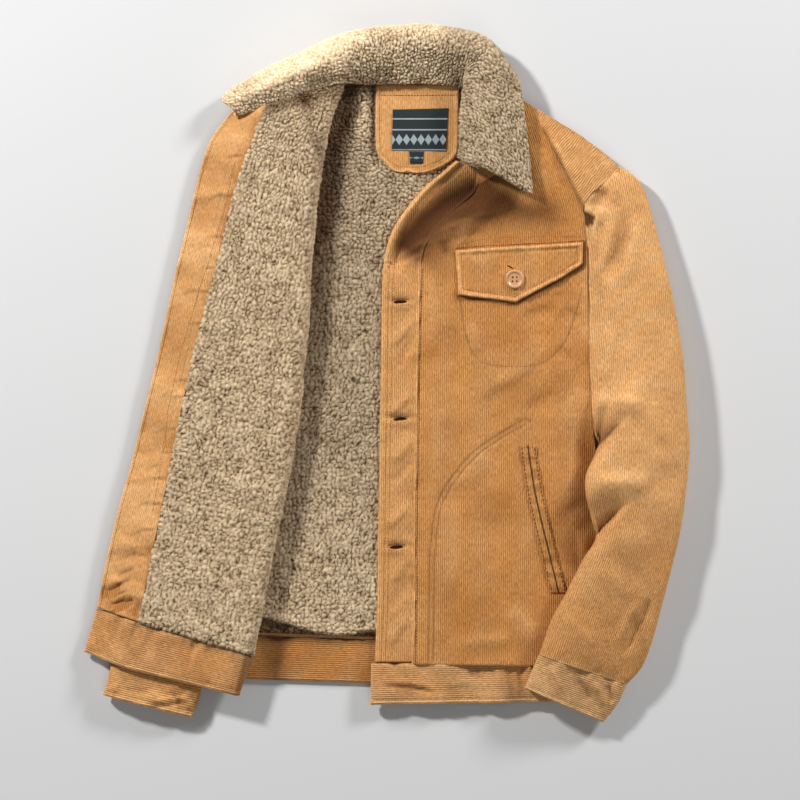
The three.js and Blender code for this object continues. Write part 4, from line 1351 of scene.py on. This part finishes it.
def open_point(source, count, s, off):
    """s: 0 free edge, 1 inner edge of the facing, 2 to 3 the fold, 4 the side seam."""
    r = smooth_rows(source, count)
    s = np.asarray(s, float)[None, :]
    off = np.broadcast_to(off, (count, s.shape[1]))
    length = np.hypot(r["bx"] - r["ax"], r["by"] - r["ay"])
    ux, uy = (r["bx"] - r["ax"]) / length, (r["by"] - r["ay"]) / length
    reach = FOLD_RADIUS + 7.5
    fx, fy = r["bx"] - ux * reach, r["by"] - uy * reach
    first, second, turn, last = (np.clip(s - k, 0, 1) for k in (0, 1, 2, 3))
    x = lerp(lerp(lerp(r["ax"], r["lx"], first), fx, second), r["sx"], last)
    y = lerp(lerp(lerp(r["ay"], r["ly"], first), fy, second), r["sy"], last)
    radius = FOLD_RADIUS + off
    x = x + ux * radius * np.sin(turn * math.pi)
    y = y + uy * radius * np.sin(turn * math.pi)
    away = np.hypot(x - r["ax"], y - r["ay"])
    middle = FOLD_TOP - FOLD_RADIUS
    upper = lerp(OPEN_EDGE, FOLD_TOP, ease(away / 45)) + off
    bend = middle + radius * np.cos(turn * math.pi)
    lower = lerp(middle - FOLD_RADIUS - off, r["sz"] - off, ease((last - 0.7) / 0.3))
    z = np.where(s <= 2, upper, np.where(s <= 3, bend, lower))
    return joined(x, y, z)


def arc(points):
    """Way along the rows' direction and along the columns' direction of a grid."""
    across = np.linalg.norm(np.diff(points, axis=1), axis=-1)
    down = np.linalg.norm(np.diff(points, axis=0), axis=-1)
    u = np.concatenate([np.zeros((len(points), 1)), np.cumsum(across, axis=1)], axis=1)
    v = np.concatenate([np.zeros((1, points.shape[1])), np.cumsum(down, axis=0)], axis=0)
    return u, v


over_fold = np.linspace(2, 3, 14)[1:]
upper_stops = np.concatenate([np.linspace(0, 2, 30), over_fold, np.linspace(3, 4, 12)[1:]])
outside = open_point(open_rows, 110, upper_stops, SHELL / 2)
inside = open_point(open_rows, 110, upper_stops, -SHELL / 2)
u, v = arc(outside)
open_front = build("right_front", outside, joined(u, v), {"wear_and_painted_light": 0 * u}, under=inside)
place(open_front, CORDUROY, ["front_right"])

# The facing is puckered across, most of all near the hem.
face_stops = stops(46, FINE)
base = open_point(open_rows, 330, face_stops * 0.995, SHELL / 2 + GAP + SHELL)
u, v = arc(base)
bx, by = base[..., 0], base[..., 1]
left, _, low, high, _ = to_edges(bx, by)
z = base[..., 2] - rounded(left, 2.4) - rounded(np.minimum(low, high), 1.6)
gather = 1.9 * noise(v + 0.25 * u, u / 40, 24, 101) + 1.1 * noise(v - 0.4 * u, u / 25 + 9, 12, 102)
strength = lerp(2.2, 1.2, ease(v / 260))
z = z + gather * strength * ease(left / 5) + groove(left - 5, 1.5, 0.8)
middle_line = left - lerp(29, 33, ease(v / 300))
z = z + groove(middle_line, 1.6, 0.9) + 0.4 * noise(bx, by, 30, 103)
z = z + 1.3 * folds(bx, by, [
    (-305, -252, -278, -236, 4, 3.4, 0.4),
    (-309, -246, -282, -228, 4, -3.0, 0.2),
    (-296, -266, -276, -252, 4, 2.6, 0.3),
    (-291, -262, -274, -244, 3, -2.8, 0.2),
    (-286, -238, -274, -226, 3, 2.0, 0.2),
    (-312, -236, -290, -222, 5, 2.4, 0.3),
    (-306, -214, -266, -232, 6, -1.8, 0.0),
    (-300, -180, -262, -196, 7, 1.8, 0.3),
    (-288, -120, -246, -112, 7, 1.4, 0.3),
    (-262, -10, -224, -22, 7, 1.3, 0.2),
    (-236, 100, -196, 88, 7, 1.4, 0.2),
    (-208, 220, -172, 206, 8, 1.4, 0.2),
])
# Small gathers beside the fleece.
near_fleece = bell(left - 38, 7)
for gather_y in (240, 196, 152, 118, 92, 57, 29, -5, -23, -58, -84, -112, -140, -168, -196):
    z = z + near_fleece * (1.1 * bell(by - gather_y, 2.4))
    z = z - near_fleece * (1.3 * bell(by - gather_y + 3.4, 1.6))
wear_and_painted_light = 0.6 * fading(left, 2.5) + 0.25 * fading(np.abs(middle_line), 2.2) + 0.3 * np.clip(gather, 0, 1)
# Short tucks run into the middle seam, with painted shade in them: dark and close near the hem, faint
# above it.
FACING_SEAM = ([-256, -150, 3, 120, 230], [-288, -258, -226, -198, -168])    # its Y and X
FACING_TUCKS = [
    (-258, 0.8), (-249, 0.85), (-238, 0.9), (-226, 0.7), (-214, 0.6), (-196, 0.4), (-172, 0.35),
    (-140, 0.3), (-100, 0.3), (-60, 0.25), (-20, 0.25), (30, 0.25), (92, 0.3), (140, 0.25),
    (196, 0.3),
]
# Painted shade in the hollows of the gathers and along the middle seam.
painted_shade = 0.12 * np.clip(-gather, 0, 1) + 0.2 * bell(middle_line, 0.9)
for tuck_y, strength in FACING_TUCKS:
    seam_x = np.interp(tuck_y, *FACING_SEAM)
    tuck = [(seam_x - 20, tuck_y - 8, seam_x + 3, tuck_y + 2, 1.5, 1.0, 0.0)]
    line = folds(bx, by, tuck)
    z = z - 2.2 * strength * line
    painted_shade = painted_shade + 0.75 * strength * line
values = {"wear_and_painted_light": wear_and_painted_light, "painted_shade": np.clip(painted_shade, 0, 0.9)}
facing = build("right_facing", joined(bx, by, z), joined(u, v), values, rim=2.4)
place(facing, NAPPED, ["facing_right"])

# The fleece, from the facing round the outside of the fold.
flat_stops = np.linspace(1.0, 2, 86)
fold_stops = np.concatenate([flat_stops, np.linspace(2, 3, 22)[1:], np.linspace(3, 3.35, 14)[1:]])
face = open_point(open_rows, 392, fold_stops, SHELL / 2 + GAP + FLEECE - 1.4)
u, v = arc(face)
rise, values = fleece(u, v, 121)
plump = rounded(u, 4.5) + rounded(np.minimum(v, v[-1:, :] - v), 4.0)
fx, fy = face[..., 0], face[..., 1]
on_top = (fold_stops <= 2)[None, :]
# It is in shade where the collar lies over it, and in the fold that runs down from there.
collar_seam = to_line(fx, fy, [(-142, 284), (-120, 294), (-92, 302), (-51, 311)])[0]
top_fold = to_line(fx, fy, [(-88, 300), (-84, 270), (-72, 238), (-66, 205)])[0]
values["painted_shade"] = 0.75 * bell(collar_seam, 11) + 0.45 * bell(top_fold, 7)
soft = folds(fx, fy, [
    (-120, 230, -150, -40, 16, 1.2, 0.3),
    (-150, 60, -210, -220, 20, -1.0, 0.0),
    (-96, 150, -120, -140, 14, 1.2, 0.2),
    (-130, -90, -180, -270, 14, 1.2, 0.3),
    (-60, 270, -84, 120, 9, -1.6, 0.3),
    (-74, 290, -110, 120, 10, 1.4, 0.2),
]) * on_top
face[..., 2] += soft - plump
face = face + normals(face, (10, 10)) * rise[..., None]
open_lining = build("right_fleece", face, joined(u, v), values, rim=5.0)
place(
    open_lining, FLEECE_CLOTH, ["front_right_lining"],
)

# The hem band goes round the same fold.
over_fold = np.linspace(2, 3, 20)[1:]
band_stops = np.concatenate([stops(185, FINE) * 2, over_fold, np.linspace(3, 4, 14)[1:]])
base = open_point(open_band_rows, 34, band_stops, 3.8)
under = open_point(open_band_rows, 34, band_stops, -SHELL / 2)
u, v = arc(base)
low, high = v, v[-1:, :] - v
edge = np.minimum(np.minimum(low, high), u)
lift = -rounded(edge, 2.4) + groove(low - HEM_STITCH, 1.6, 0.8)
bx, by = base[..., 0], base[..., 1]
lift = lift + pucker(high, u, 26, 11, 3.6, 131) + 1.3 * noise(bx, by, 16, 132) * ease(edge / 6)
lift = lift + folds(bx, by, [
    (-318, -274, -296, -312, 5, 1.4, 0.3),
    (-296, -284, -276, -316, 6, -1.0, 0.0),
    (-210, -300, -196, -340, 6, 1.0, 0.2),
    (-176, -312, -170, -348, 6, 1.2, 0.3),
])
base = base + normals(base, (10, 20)) * lift[..., None]
wear_and_painted_light = 0.55 * fading(edge, 2.6) + 0.25 * fading(np.abs(low - HEM_STITCH), 2)
# Painted shade towards the end at the fold and along the top edge.
toward_end = np.clip((band_stops[None, :] - 1.86) / 0.3, 0, 1) + 0 * u
values = {"wear_and_painted_light": wear_and_painted_light, "painted_shade": 0.55 * ease(toward_end) + 0.35 * bell(high, 2.2)}
open_band = build("right_band", base, joined(low, u), values, under=under)
place(open_band, BAND_CLOTH, ["hem_band_right"])

# %% [markdown]
# ## The collar
# Each row has four knots: n on the neck seam, t on top of the roll, r outside it and p on the
# free edge. The curl relief is moved out along the surface's own normal.

# %%
collar_rows = table("nx ny nz tx ty tz rx ry rz px py pz", [
    [-166, 283, 17, -169, 290, 24, -180, 299, 15, -171, 301, 6],
    [-142, 290, 21, -148, 303, 31, -163, 312, 16, -150, 311, 6],
    [-113, 299, 26, -119, 318, 38, -130, 331, 16, -116, 324, 6],
    [-83, 310, 28, -88, 332, 41, -99, 346, 16, -88, 336, 6],
    [-50, 317, 27, -55, 350, 42, -62, 362, 17, -55, 347, 6],
    [-20, 317, 16, -22, 362, 40, -26, 373, 17, -22, 355, 6],
    [10, 318, 13.4, 10, 366, 38, 10, 377, 17, 10, 358, 6],
    [40, 318, 13.4, 42, 367, 38, 44, 378, 17, 42, 359, 6],
    [66, 317, 13.4, 75, 363, 38, 82, 374, 19, 80, 358, 7],
    [84, 312, 15, 95, 352, 37, 111, 361, 24, 120, 347, 11],
    [94, 300, 17, 92, 334, 33, 119, 338, 33, 143, 322, 17],
    [98, 280, 18.5, 86, 304, 30, 114, 302, 35, 150, 293, 24],
    [97, 257, 19.5, 83, 266, 29, 115, 260, 35, 156, 244, 26],
    [92, 236, 20.5, 81, 234, 28, 112, 221, 34, 161, 193, 27],
])


def root_gap(a, b):
    """The square root of the distance, by which a centripetal curve spaces its knots."""
    return np.maximum(np.linalg.norm(b - a, axis=1, keepdims=True), 1e-3) ** 0.5


def collar_grid(count, across):
    """Centripetal curve through the four knots of each row, with even spacing."""
    r = smooth_rows(collar_rows, count)
    knots = np.stack([np.concatenate([r[k + a] for a in "xyz"], axis=1) for k in "ntrp"], axis=1)
    before = 2 * knots[:, :1] - knots[:, 1:2]
    after = 2 * knots[:, -1:] - knots[:, -2:-1]
    knots = np.concatenate([before, knots, after], axis=1)
    lines = []
    for k in range(3):
        a, b, c, d = (knots[:, k + m] for m in range(4))
        ab, bc, cd = root_gap(a, b), root_gap(b, c), root_gap(c, d)
        slope_b = bc * ((b - a) / ab - (c - a) / (ab + bc) + (c - b) / bc)
        slope_c = bc * ((c - b) / bc - (d - b) / (bc + cd) + (d - c) / cd)
        for t in np.linspace(0, 1, 24, endpoint=k == 2):
            step = 2 * t ** 3 - 3 * t ** 2
            first = (step + 1) * b + (t ** 3 - 2 * t ** 2 + t) * slope_b
            lines.append(first - step * c + (t ** 3 - t ** 2) * slope_c)
    line = np.stack(lines, axis=1)
    way = arc(line)[0]
    out = np.empty((count, len(across), 3))
    for i in range(count):
        for axis in range(3):
            out[i, :, axis] = np.interp(across * way[i, -1], way[i], line[i, :, axis])
    return out


middle = collar_grid(460, np.linspace(0, 1, 92))
u, v = arc(middle)
v_mean = v.mean(axis=1, keepdims=True)
ROUND = 15             # radius of the collar's points
along_u = np.gradient(middle, axis=1)
along_v = np.gradient(middle, axis=0)
along_u /= np.linalg.norm(along_u, axis=-1, keepdims=True)
along_v /= np.linalg.norm(along_v, axis=-1, keepdims=True)
from_end = np.minimum(v[-1:, :] - v, v * 1.6)
toward = np.where(v[-1:, :] - v < v * 1.6, 1, -1)
a = np.clip(ROUND - (u[:, -1:] - u), 0, ROUND)
b = np.clip(ROUND - from_end, 0, ROUND)
pull = 1 - np.minimum(1, ROUND / np.maximum(np.hypot(a, b), 1e-6))
middle = middle - (a * pull)[..., None] * along_u - (b * pull * toward)[..., None] * along_v
outward = normals(middle, (200, 30))
collar_edge = np.minimum.reduce([u, u[:, -1:] - u, v_mean + 0 * u, v_mean[-1:] - v_mean + 0 * u])
half = 4.0 - rounded(collar_edge, 3.6)
along = arc(middle)[1][:, 45:46] + 0 * u
rise, values = fleece(1.2 * u, 1.2 * along, 141)
collar_x, collar_y = middle[..., 0], middle[..., 1]
# Painted light and shade: the left part of the collar is lighter, the right leaf darker.
values["tone"] = values["tone"] + 0.9 - 1.5 * ease((collar_x - 50) / 30)
# The stand has a painted highlight, and its pile is closer.
pale = ease((-10 - collar_x) / 60) * (1 - 0.6 * ease((-115 - collar_x) / 40))
values["tone"] = values["tone"] + 1.1 * pale
values["pile"] = values["pile"] * (1 - 0.35 * pale) + 0.35 * pale
# Shade along the neck seam of the turned leaf, in the stand's crease and under the roll.
STAND_CREASE = [(-170, 292), (-132, 308), (-95, 326), (-70, 334)]
UNDER_ROLL = [(-80, 322), (-58, 326), (-30, 322), (0, 322)]
values["painted_shade"] = 0.6 * bell(u, 16) * ease((collar_x - 60) / 20)
stand_crease = to_line(collar_x, collar_y, STAND_CREASE)[0]
under_roll = to_line(collar_x, collar_y, UNDER_ROLL)[0]
values["painted_shade"] += 0.35 * bell(stand_crease, 2.6) + 0.55 * bell(under_roll, 8)
outer = middle + outward * (half - 1.2 + rise)[..., None]
rise_back = fleece(1.2 * u + 300, 1.2 * along, 151)[0]
inner = middle - outward * (half - 1.2 + rise_back)[..., None]
collar = build("collar_fleece", outer, joined(u, along), values, under=inner)
place(collar, FLEECE_CLOTH, ["collar"])

# %% [markdown]
# ## Loose fibres
# Single fibres stand out of the pile, so that the fleece has a soft outline. One node group
# scatters thin spikes on a piece, leaning every way, and turns them to a plain mesh.

# %%
def new_group(name, given_in, numbers, material, result):
    """A node group with its sockets, and the sockets of what it is given."""
    tree = bpy.data.node_groups.new(name, "GeometryNodeTree")
    sockets = [(given_in, "INPUT", "Geometry")] + [(each, "INPUT", "Float") for each in numbers]
    sockets += [("Seed", "INPUT", "Int"), (material, "INPUT", "Material")]
    for label, way, kind in sockets + [(result, "OUTPUT", "Geometry")]:
        tree.interface.new_socket(label, in_out=way, socket_type="NodeSocket" + kind)
    return tree, node(tree, "NodeGroupInput").outputs


def laid_on_points(tree, points, piece, rotation, scale, material):
    """A copy of `piece` on every point, as one plain mesh: the group's result."""
    put = node(tree, "GeometryNodeInstanceOnPoints", {
        "Points": points,
        "Instance": piece,
        "Rotation": rotation,
        "Scale": scale,
    })
    real = node(tree, "GeometryNodeRealizeInstances", {0: put.outputs[0]})
    inputs = {"Geometry": real.outputs[0], "Material": material}
    painted = node(tree, "GeometryNodeSetMaterial", inputs)
    node(tree, "NodeGroupOutput", {0: painted.outputs[0]})
    return tree


def fibre_group():
    """Scatters thin spikes over the faces that look up or out."""
    numbers = ("Density", "Length", "Width", "Lean")
    tree, given = new_group("loose fibres", "Cloth", numbers, "Pile", "Fibres")
    normal = node(tree, "GeometryNodeInputNormal")
    upward = node(tree, "ShaderNodeSeparateXYZ", {0: normal.outputs[0]}).outputs[2]
    looks_up = math_node(tree, "GREATER_THAN", upward, -0.1)
    spread = node(tree, "GeometryNodeDistributePointsOnFaces", {
        "Mesh": given["Cloth"],
        "Selection": looks_up,
        "Density": given["Density"],
        "Seed": given["Seed"],
    })
    spike = node(tree, "GeometryNodeMeshCone", {
        "Vertices": 3,
        "Radius Top": 0.0,
        "Radius Bottom": given["Width"],
        "Depth": given["Length"],
    }, fill_type="NONE")
    less = math_node(tree, "MULTIPLY", given["Lean"], -1.0)
    low = node(tree, "ShaderNodeCombineXYZ", {0: less, 1: less, 2: -3.0})
    high = node(tree, "ShaderNodeCombineXYZ", {0: given["Lean"], 1: given["Lean"], 2: 3.0})
    lean_between = {0: low.outputs[0], 1: high.outputs[0], 8: given["Seed"]}
    lean = node(tree, "FunctionNodeRandomValue", lean_between, data_type="FLOAT_VECTOR")
    turned_by = node(tree, "FunctionNodeRotateRotation", {
        "Rotation": spread.outputs["Rotation"],
        "Rotate By": lean.outputs[0],
    }, rotation_space="LOCAL")
    vary_between = {2: 0.5, 3: 1.2, 8: given["Seed"]}
    vary = node(tree, "FunctionNodeRandomValue", vary_between, data_type="FLOAT")
    points, rotation = spread.outputs["Points"], turned_by.outputs[0]
    return laid_on_points(
        tree, points, spike.outputs["Mesh"], rotation, vary.outputs[1], given["Pile"],
    )


def grown(name, source, group, inputs):
    """The group's result on `source` as a plain mesh of its own, riding on the body."""
    holder = in_scene(bpy.data.objects.new(name + "_source", source))
    modifier = holder.modifiers.new("grown", "NODES")
    modifier.node_group = group
    for item in group.interface.items_tree:
        if item.in_out == "INPUT" and item.name in inputs:
            modifier[item.identifier] = inputs[item.name]
    bpy.context.view_layer.update()
    evaluated = holder.evaluated_get(bpy.context.evaluated_depsgraph_get())
    plain = in_scene(bpy.data.objects.new(name, bpy.data.meshes.new_from_object(evaluated)))
    plain.data.shade_smooth()
    bpy.data.objects.remove(holder)
    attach(plain, "root")
    print(f"{name}: {len(plain.data.polygons)} faces")
    return plain


FIBRE_LENGTH = 3.0 * MM
FIBRE_WIDTH = 0.22 * MM
fibres = fibre_group()
# Density is in fibres per square metre.
for name, source, density, seed in (
    ("collar_fibres", collar, 260000.0, 3),
    ("open_front_fibres", open_lining, 150000.0, 4),
    ("back_fibres", lining, 30000.0, 5),
):
    inputs = {"Density": density, "Length": FIBRE_LENGTH, "Width": FIBRE_WIDTH, "Lean": 1.0}
    inputs.update({"Seed": seed, "Pile": LOOSE})
    grown(name, source.data, fibres, inputs)

# %% [markdown]
# ## Stitches
# `sewn` drops points on a piece along a line, one for each stitch, with the way it runs. One
# node group lays a small capsule of thread on every point, each a little different.

# %%
bpy.context.view_layer.update()
STITCH = 3.3           # from one stitch to the next
sewn_points = {"fine": [], "dark": [], "coarse": []}


def top_of(obj, x, y):
    """Where a line from above meets the piece, in metres, or None beside it."""
    hit, spot, _, _ = obj.ray_cast((x * MM, y * MM, 0.2), (0, 0, -1))
    return np.array(spot) if hit else None


def sewn(kind, obj, line, spacing=STITCH, lift=0.15):
    """Points on the top of `obj` along a line of (x, y) in millimetres."""
    line = np.array(line, float)
    way = np.concatenate([[0], np.cumsum(np.hypot(*np.diff(line, axis=0).T))])
    for s in np.arange(spacing / 2, way[-1], spacing):
        a, b = (
            top_of(obj, np.interp(s + d, way, line[:, 0]), np.interp(s + d, way, line[:, 1]))
            for d in (-0.8, 0.8)
        )
        if a is None or b is None or abs(a[2] - b[2]) >= 2 * MM:
            continue
        sewn_points[kind].append(((a + b) / 2 + np.array([0, 0, lift * MM]), b - a))


def beside(line, offset):
    """The line moved sideways by `offset`, to its right if that is above zero."""
    line = np.array(line, float)
    way = np.gradient(line, axis=0)
    way /= np.linalg.norm(way, axis=1, keepdims=True)
    return line + offset * joined(way[:, 1], -way[:, 0])


def start_edge(source):
    """The edge where a panel's rows start."""
    r = smooth_rows(source, 120)
    return list(zip(r["x1"][:, 0], r["y1"][:, 0]))


strip_edge = start_edge(strip_rows)
front_edge = beside(start_edge(FRONT_ROWS), 4.4)
open_edge = [tuple(row[:2]) for row in open_rows["rows"]]
OPEN_HEM = [(-332, -305), (-285, -322), (-160, -353)]
SEAMS = [
    ("fine", strip, beside(strip_edge, STRIP_STITCHES[0])),
    ("fine", strip, beside(strip_edge, STRIP_STITCHES[1])),
    ("dark", front, [point for point in front_edge if point[1] < 122]),
    ("fine", front, HAND_BAG),
    ("fine", front, beside(HAND_BAG, 5.5)),
    ("fine", front, CHEST_BAG),
    ("fine", flap, [
        (82, 129), (83.5, 93), (116, 87.5), (141, 84.5), (162, 96), (205, 116), (208, 137),
    ]),
    ("fine", front, [(75.4, 141.5), (112.8, 149), (179.9, 151), (217, 150)]),
    ("dark", front, [(76, 137.6), (112.8, 140.6), (179.9, 143.6), (216, 146)]),
    ("fine", band, [(-12, -357), (90, -356), (236, -353)]),
    ("fine", back_band, [(-176, -329.5), (236, -344)]),
    ("fine", neck, [
        (-8, 316), (-8, 262), (-6, 243), (2, 234), (14, 227.5), (38, 227), (58, 234), (70, 244),
    ]),
    ("dark", neck, [(-10, 306), (30, 305.4), (78, 306)]),
    ("fine", facing, beside(open_edge, 3.4)),
    ("fine", facing, [
        (-255, -150), (-242, -75), (-239, -40), (-226, 20), (-202, 100), (-195, 120), (-178, 176),
        (-166, 230),
    ]),
    ("fine", open_band, beside(OPEN_HEM, -4.6)),
]
for kind, piece, line in SEAMS:
    sewn(kind, piece, line)
slit_line = start_edge(POCKET_SLIT_ROWS)
for welt, offset in zip(welts, (-7.2, 7.2)):
    sewn("coarse", welt, beside(slit_line, offset), 4.6, 0.3)
# A bar of close stitches at each end of the hand pocket's slit.
for bar_x, bar_y in ((157, -80), (188, -238)):
    for step in range(7):
        x = 2 * step
        line = [(bar_x - 7 + x, bar_y + 2.2), (bar_x - 6.4 + x, bar_y - 1.4)]
        sewn("fine", front, line, 3.3, 0.5)
# Stitches across both lips of each buttonhole.
for hole_x, hole_y in BUTTONHOLES:
    for step in range(11):
        for side in (-1, 1):
            reach = 2.6 - 0.8 * abs(step - 5) / 5
            start = (hole_x - 9 + 1.8 * step, hole_y + side * reach)
            sewn("fine", strip, [start, (start[0] + 0.2, start[1] + side * 2.2)], 2.0, 0.2)
# Slits, by middle, half length, half width and slant: dark sheets of painted shade over each hole. The
# last one is in the flap.
SLITS = [(hole_x, hole_y, 7.2, 1.7, 0.5) for hole_x, hole_y in BUTTONHOLES]
SLITS.append((135.5, 117.0, 3.6, 0.8, -1.5))
across = np.linspace(-1, 1, 15)[None, :]
down = np.linspace(-1, 1, 5)[:, None]
for number, (hole_x, hole_y, half_long, half_wide, slant) in enumerate(SLITS):
    owner = strip if number < len(BUTTONHOLES) else flap
    x = hole_x + half_long * across + 0 * down
    y = hole_y + half_wide * down * np.sqrt(1.02 - across ** 2) + slant * across
    y = y + 0.35 * noise(x, y * 0, 3, 160 + number)
    z = np.array([[top_of(owner, a, b)[2] / MM for a, b in zip(*row)] for row in zip(x, y)])
    slit = build(f"buttonhole_slit_shade_{number + 1}", joined(x, y, z + 0.25), joined(x, y))
    place(slit, SLIT, [])
# A dark disc under the flap button's holes stands for the thread in them and for the shade inside them.
button_low, button_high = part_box("flap_button")
turn = np.linspace(0, 2 * math.pi, 24, endpoint=False)[None, :]
spread = np.array([0.2, 2.4, 4.6])[:, None]
x = (button_low[0] + button_high[0]) / 2 / MM + spread * np.cos(turn)
y = (button_low[1] + button_high[1]) / 2 / MM + spread * np.sin(turn)
z = button_low[2] / MM + 0.9 + 0 * x
thread = build("button_thread_and_shade", joined(x, y, z), joined(x, y), close=True)
place(thread, SLIT, [])
print("Stitches:", {kind: len(found) for kind, found in sewn_points.items()})


def stitch_group():
    """Points with a `way` vector become capsules of thread laid along it."""
    numbers = ("Length", "Width", "Uneven")
    tree, given = new_group("laid stitches", "Points", numbers, "Thread", "Stitches")
    ball = node(tree, "GeometryNodeMeshUVSphere", {"Segments": 6, "Rings": 4, "Radius": 0.5})
    sides = {0: given["Width"], 1: given["Width"], 2: given["Length"]}
    size = node(tree, "ShaderNodeCombineXYZ", sides)
    stretched = {"Geometry": ball.outputs["Mesh"], "Scale": size.outputs[0]}
    capsule = node(tree, "GeometryNodeTransform", stretched)
    way = node(tree, "GeometryNodeInputNamedAttribute", {"Name": "way"}, data_type="FLOAT_VECTOR")
    turn = node(tree, "FunctionNodeAlignRotationToVector", {"Vector": way.outputs[0]}, axis="Z")
    low = math_node(tree, "SUBTRACT", 1.0, given["Uneven"])
    high = math_node(tree, "ADD", 1.0, given["Uneven"])
    vary = node(tree, "FunctionNodeRandomValue", {2: low, 3: high, 8: given["Seed"]}, data_type="FLOAT")
    return laid_on_points(
        tree, given["Points"], capsule.outputs[0], turn.outputs[0], vary.outputs[1], given["Thread"],
    )


group = stitch_group()
for kind, length, width, thread in (
    ("fine", 2.3, 0.7, THREAD),
    ("dark", 2.4, 0.9, DARK_THREAD),
    ("coarse", 3.4, 1.0, DARK_THREAD),
):
    found = sewn_points[kind]
    mesh = bpy.data.meshes.new(kind + "_points")
    mesh.from_pydata([tuple(place_at) for place_at, _ in found], [], [])
    ways = np.array([way / np.linalg.norm(way) for _, way in found], dtype=np.float32)
    mesh.attributes.new("way", "FLOAT_VECTOR", "POINT").data.foreach_set("vector", ways.ravel())
    inputs = {"Length": length * MM, "Width": width * MM, "Uneven": 0.12, "Seed": 7, "Thread": thread}
    grown(kind + "_stitches", mesh, group, inputs)

# %% [markdown]
# ## Buttons
# The flap button and the three closing buttons keep their turned solids, whose holes and
# rims are true. They get the horn plastic and a fine bevel.

# %%
BUTTON_BEVEL = 0.3 * MM
for name in ("flap_button", "front_button_1", "front_button_2", "front_button_3"):
    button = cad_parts[name]
    button.data.materials.clear()
    button.data.materials.append(HORN)
    bevel = button.modifiers.new("soft rim", "BEVEL")
    bevel.width = BUTTON_BEVEL
    bevel.segments = 2
    bevel.limit_method = "ANGLE"
print("Buttons finished")

# %% [markdown]
# ## Floor, light and camera
# A pale floor, two small lamps beyond the collar's corners, a wide weak one beyond the hem,
# and a long lens that looks straight down. Places are in metres.

# %%
def floor_material():
    material, tree, surface = new_material("pale floor")
    surface.inputs["Base Color"].default_value = srgb("#D6D6D6")
    surface.inputs["Roughness"].default_value = 0.9
    return material


bpy.ops.mesh.primitive_plane_add(size=12, location=(0, 0, -0.0005))
floor = bpy.context.object
floor.name = "floor"
floor.data.materials.append(floor_material())


def soft_light(name, place_at, size, power):
    """A round lamp aimed at the middle of the floor."""
    data = bpy.data.lights.new(name, "AREA")
    data.shape = "DISK"
    data.size = size
    data.energy = power
    lamp = in_scene(bpy.data.objects.new(name, data))
    lamp.location = place_at
    direction = -np.array(place_at)
    turn_z = math.atan2(direction[1], direction[0])
    tilt = math.acos(-direction[2] / np.linalg.norm(direction))
    lamp.rotation_euler = (tilt, 0, turn_z - math.pi / 2)


soft_light("key", (-2.05, 1.8, 1.7), 0.34, 104)
soft_light("side", (2.2, 1.9, 1.35), 0.7, 74)
soft_light("fill", (0.6, -1.8, 2.8), 2.0, 15)
world = bpy.data.worlds.new("studio")
world.use_nodes = True
background = world.node_tree.nodes["Background"]
background.inputs[0].default_value = (1, 1, 1, 1)
background.inputs[1].default_value = 0.13
bpy.context.scene.world = world
bpy.context.scene.view_settings.view_transform = "Standard"

VIEW_WIDTH = 0.88      # across the picture, at the floor
VIEW_MIDDLE = (0.0149, -0.0286)
CAMERA_HEIGHT = 4.0
SENSOR = 36.0          # the sensor's width in millimetres
camera_data = bpy.data.cameras.new("camera")
camera_data.sensor_width = SENSOR
camera_data.lens = SENSOR * CAMERA_HEIGHT / VIEW_WIDTH
camera_data.clip_end = 30
camera_data.dof.use_dof = False
camera = in_scene(bpy.data.objects.new("camera", camera_data))
camera.location = (*VIEW_MIDDLE, CAMERA_HEIGHT)
bpy.context.scene.camera = camera
print("Camera at", tuple(round(v, 3) for v in camera.location))
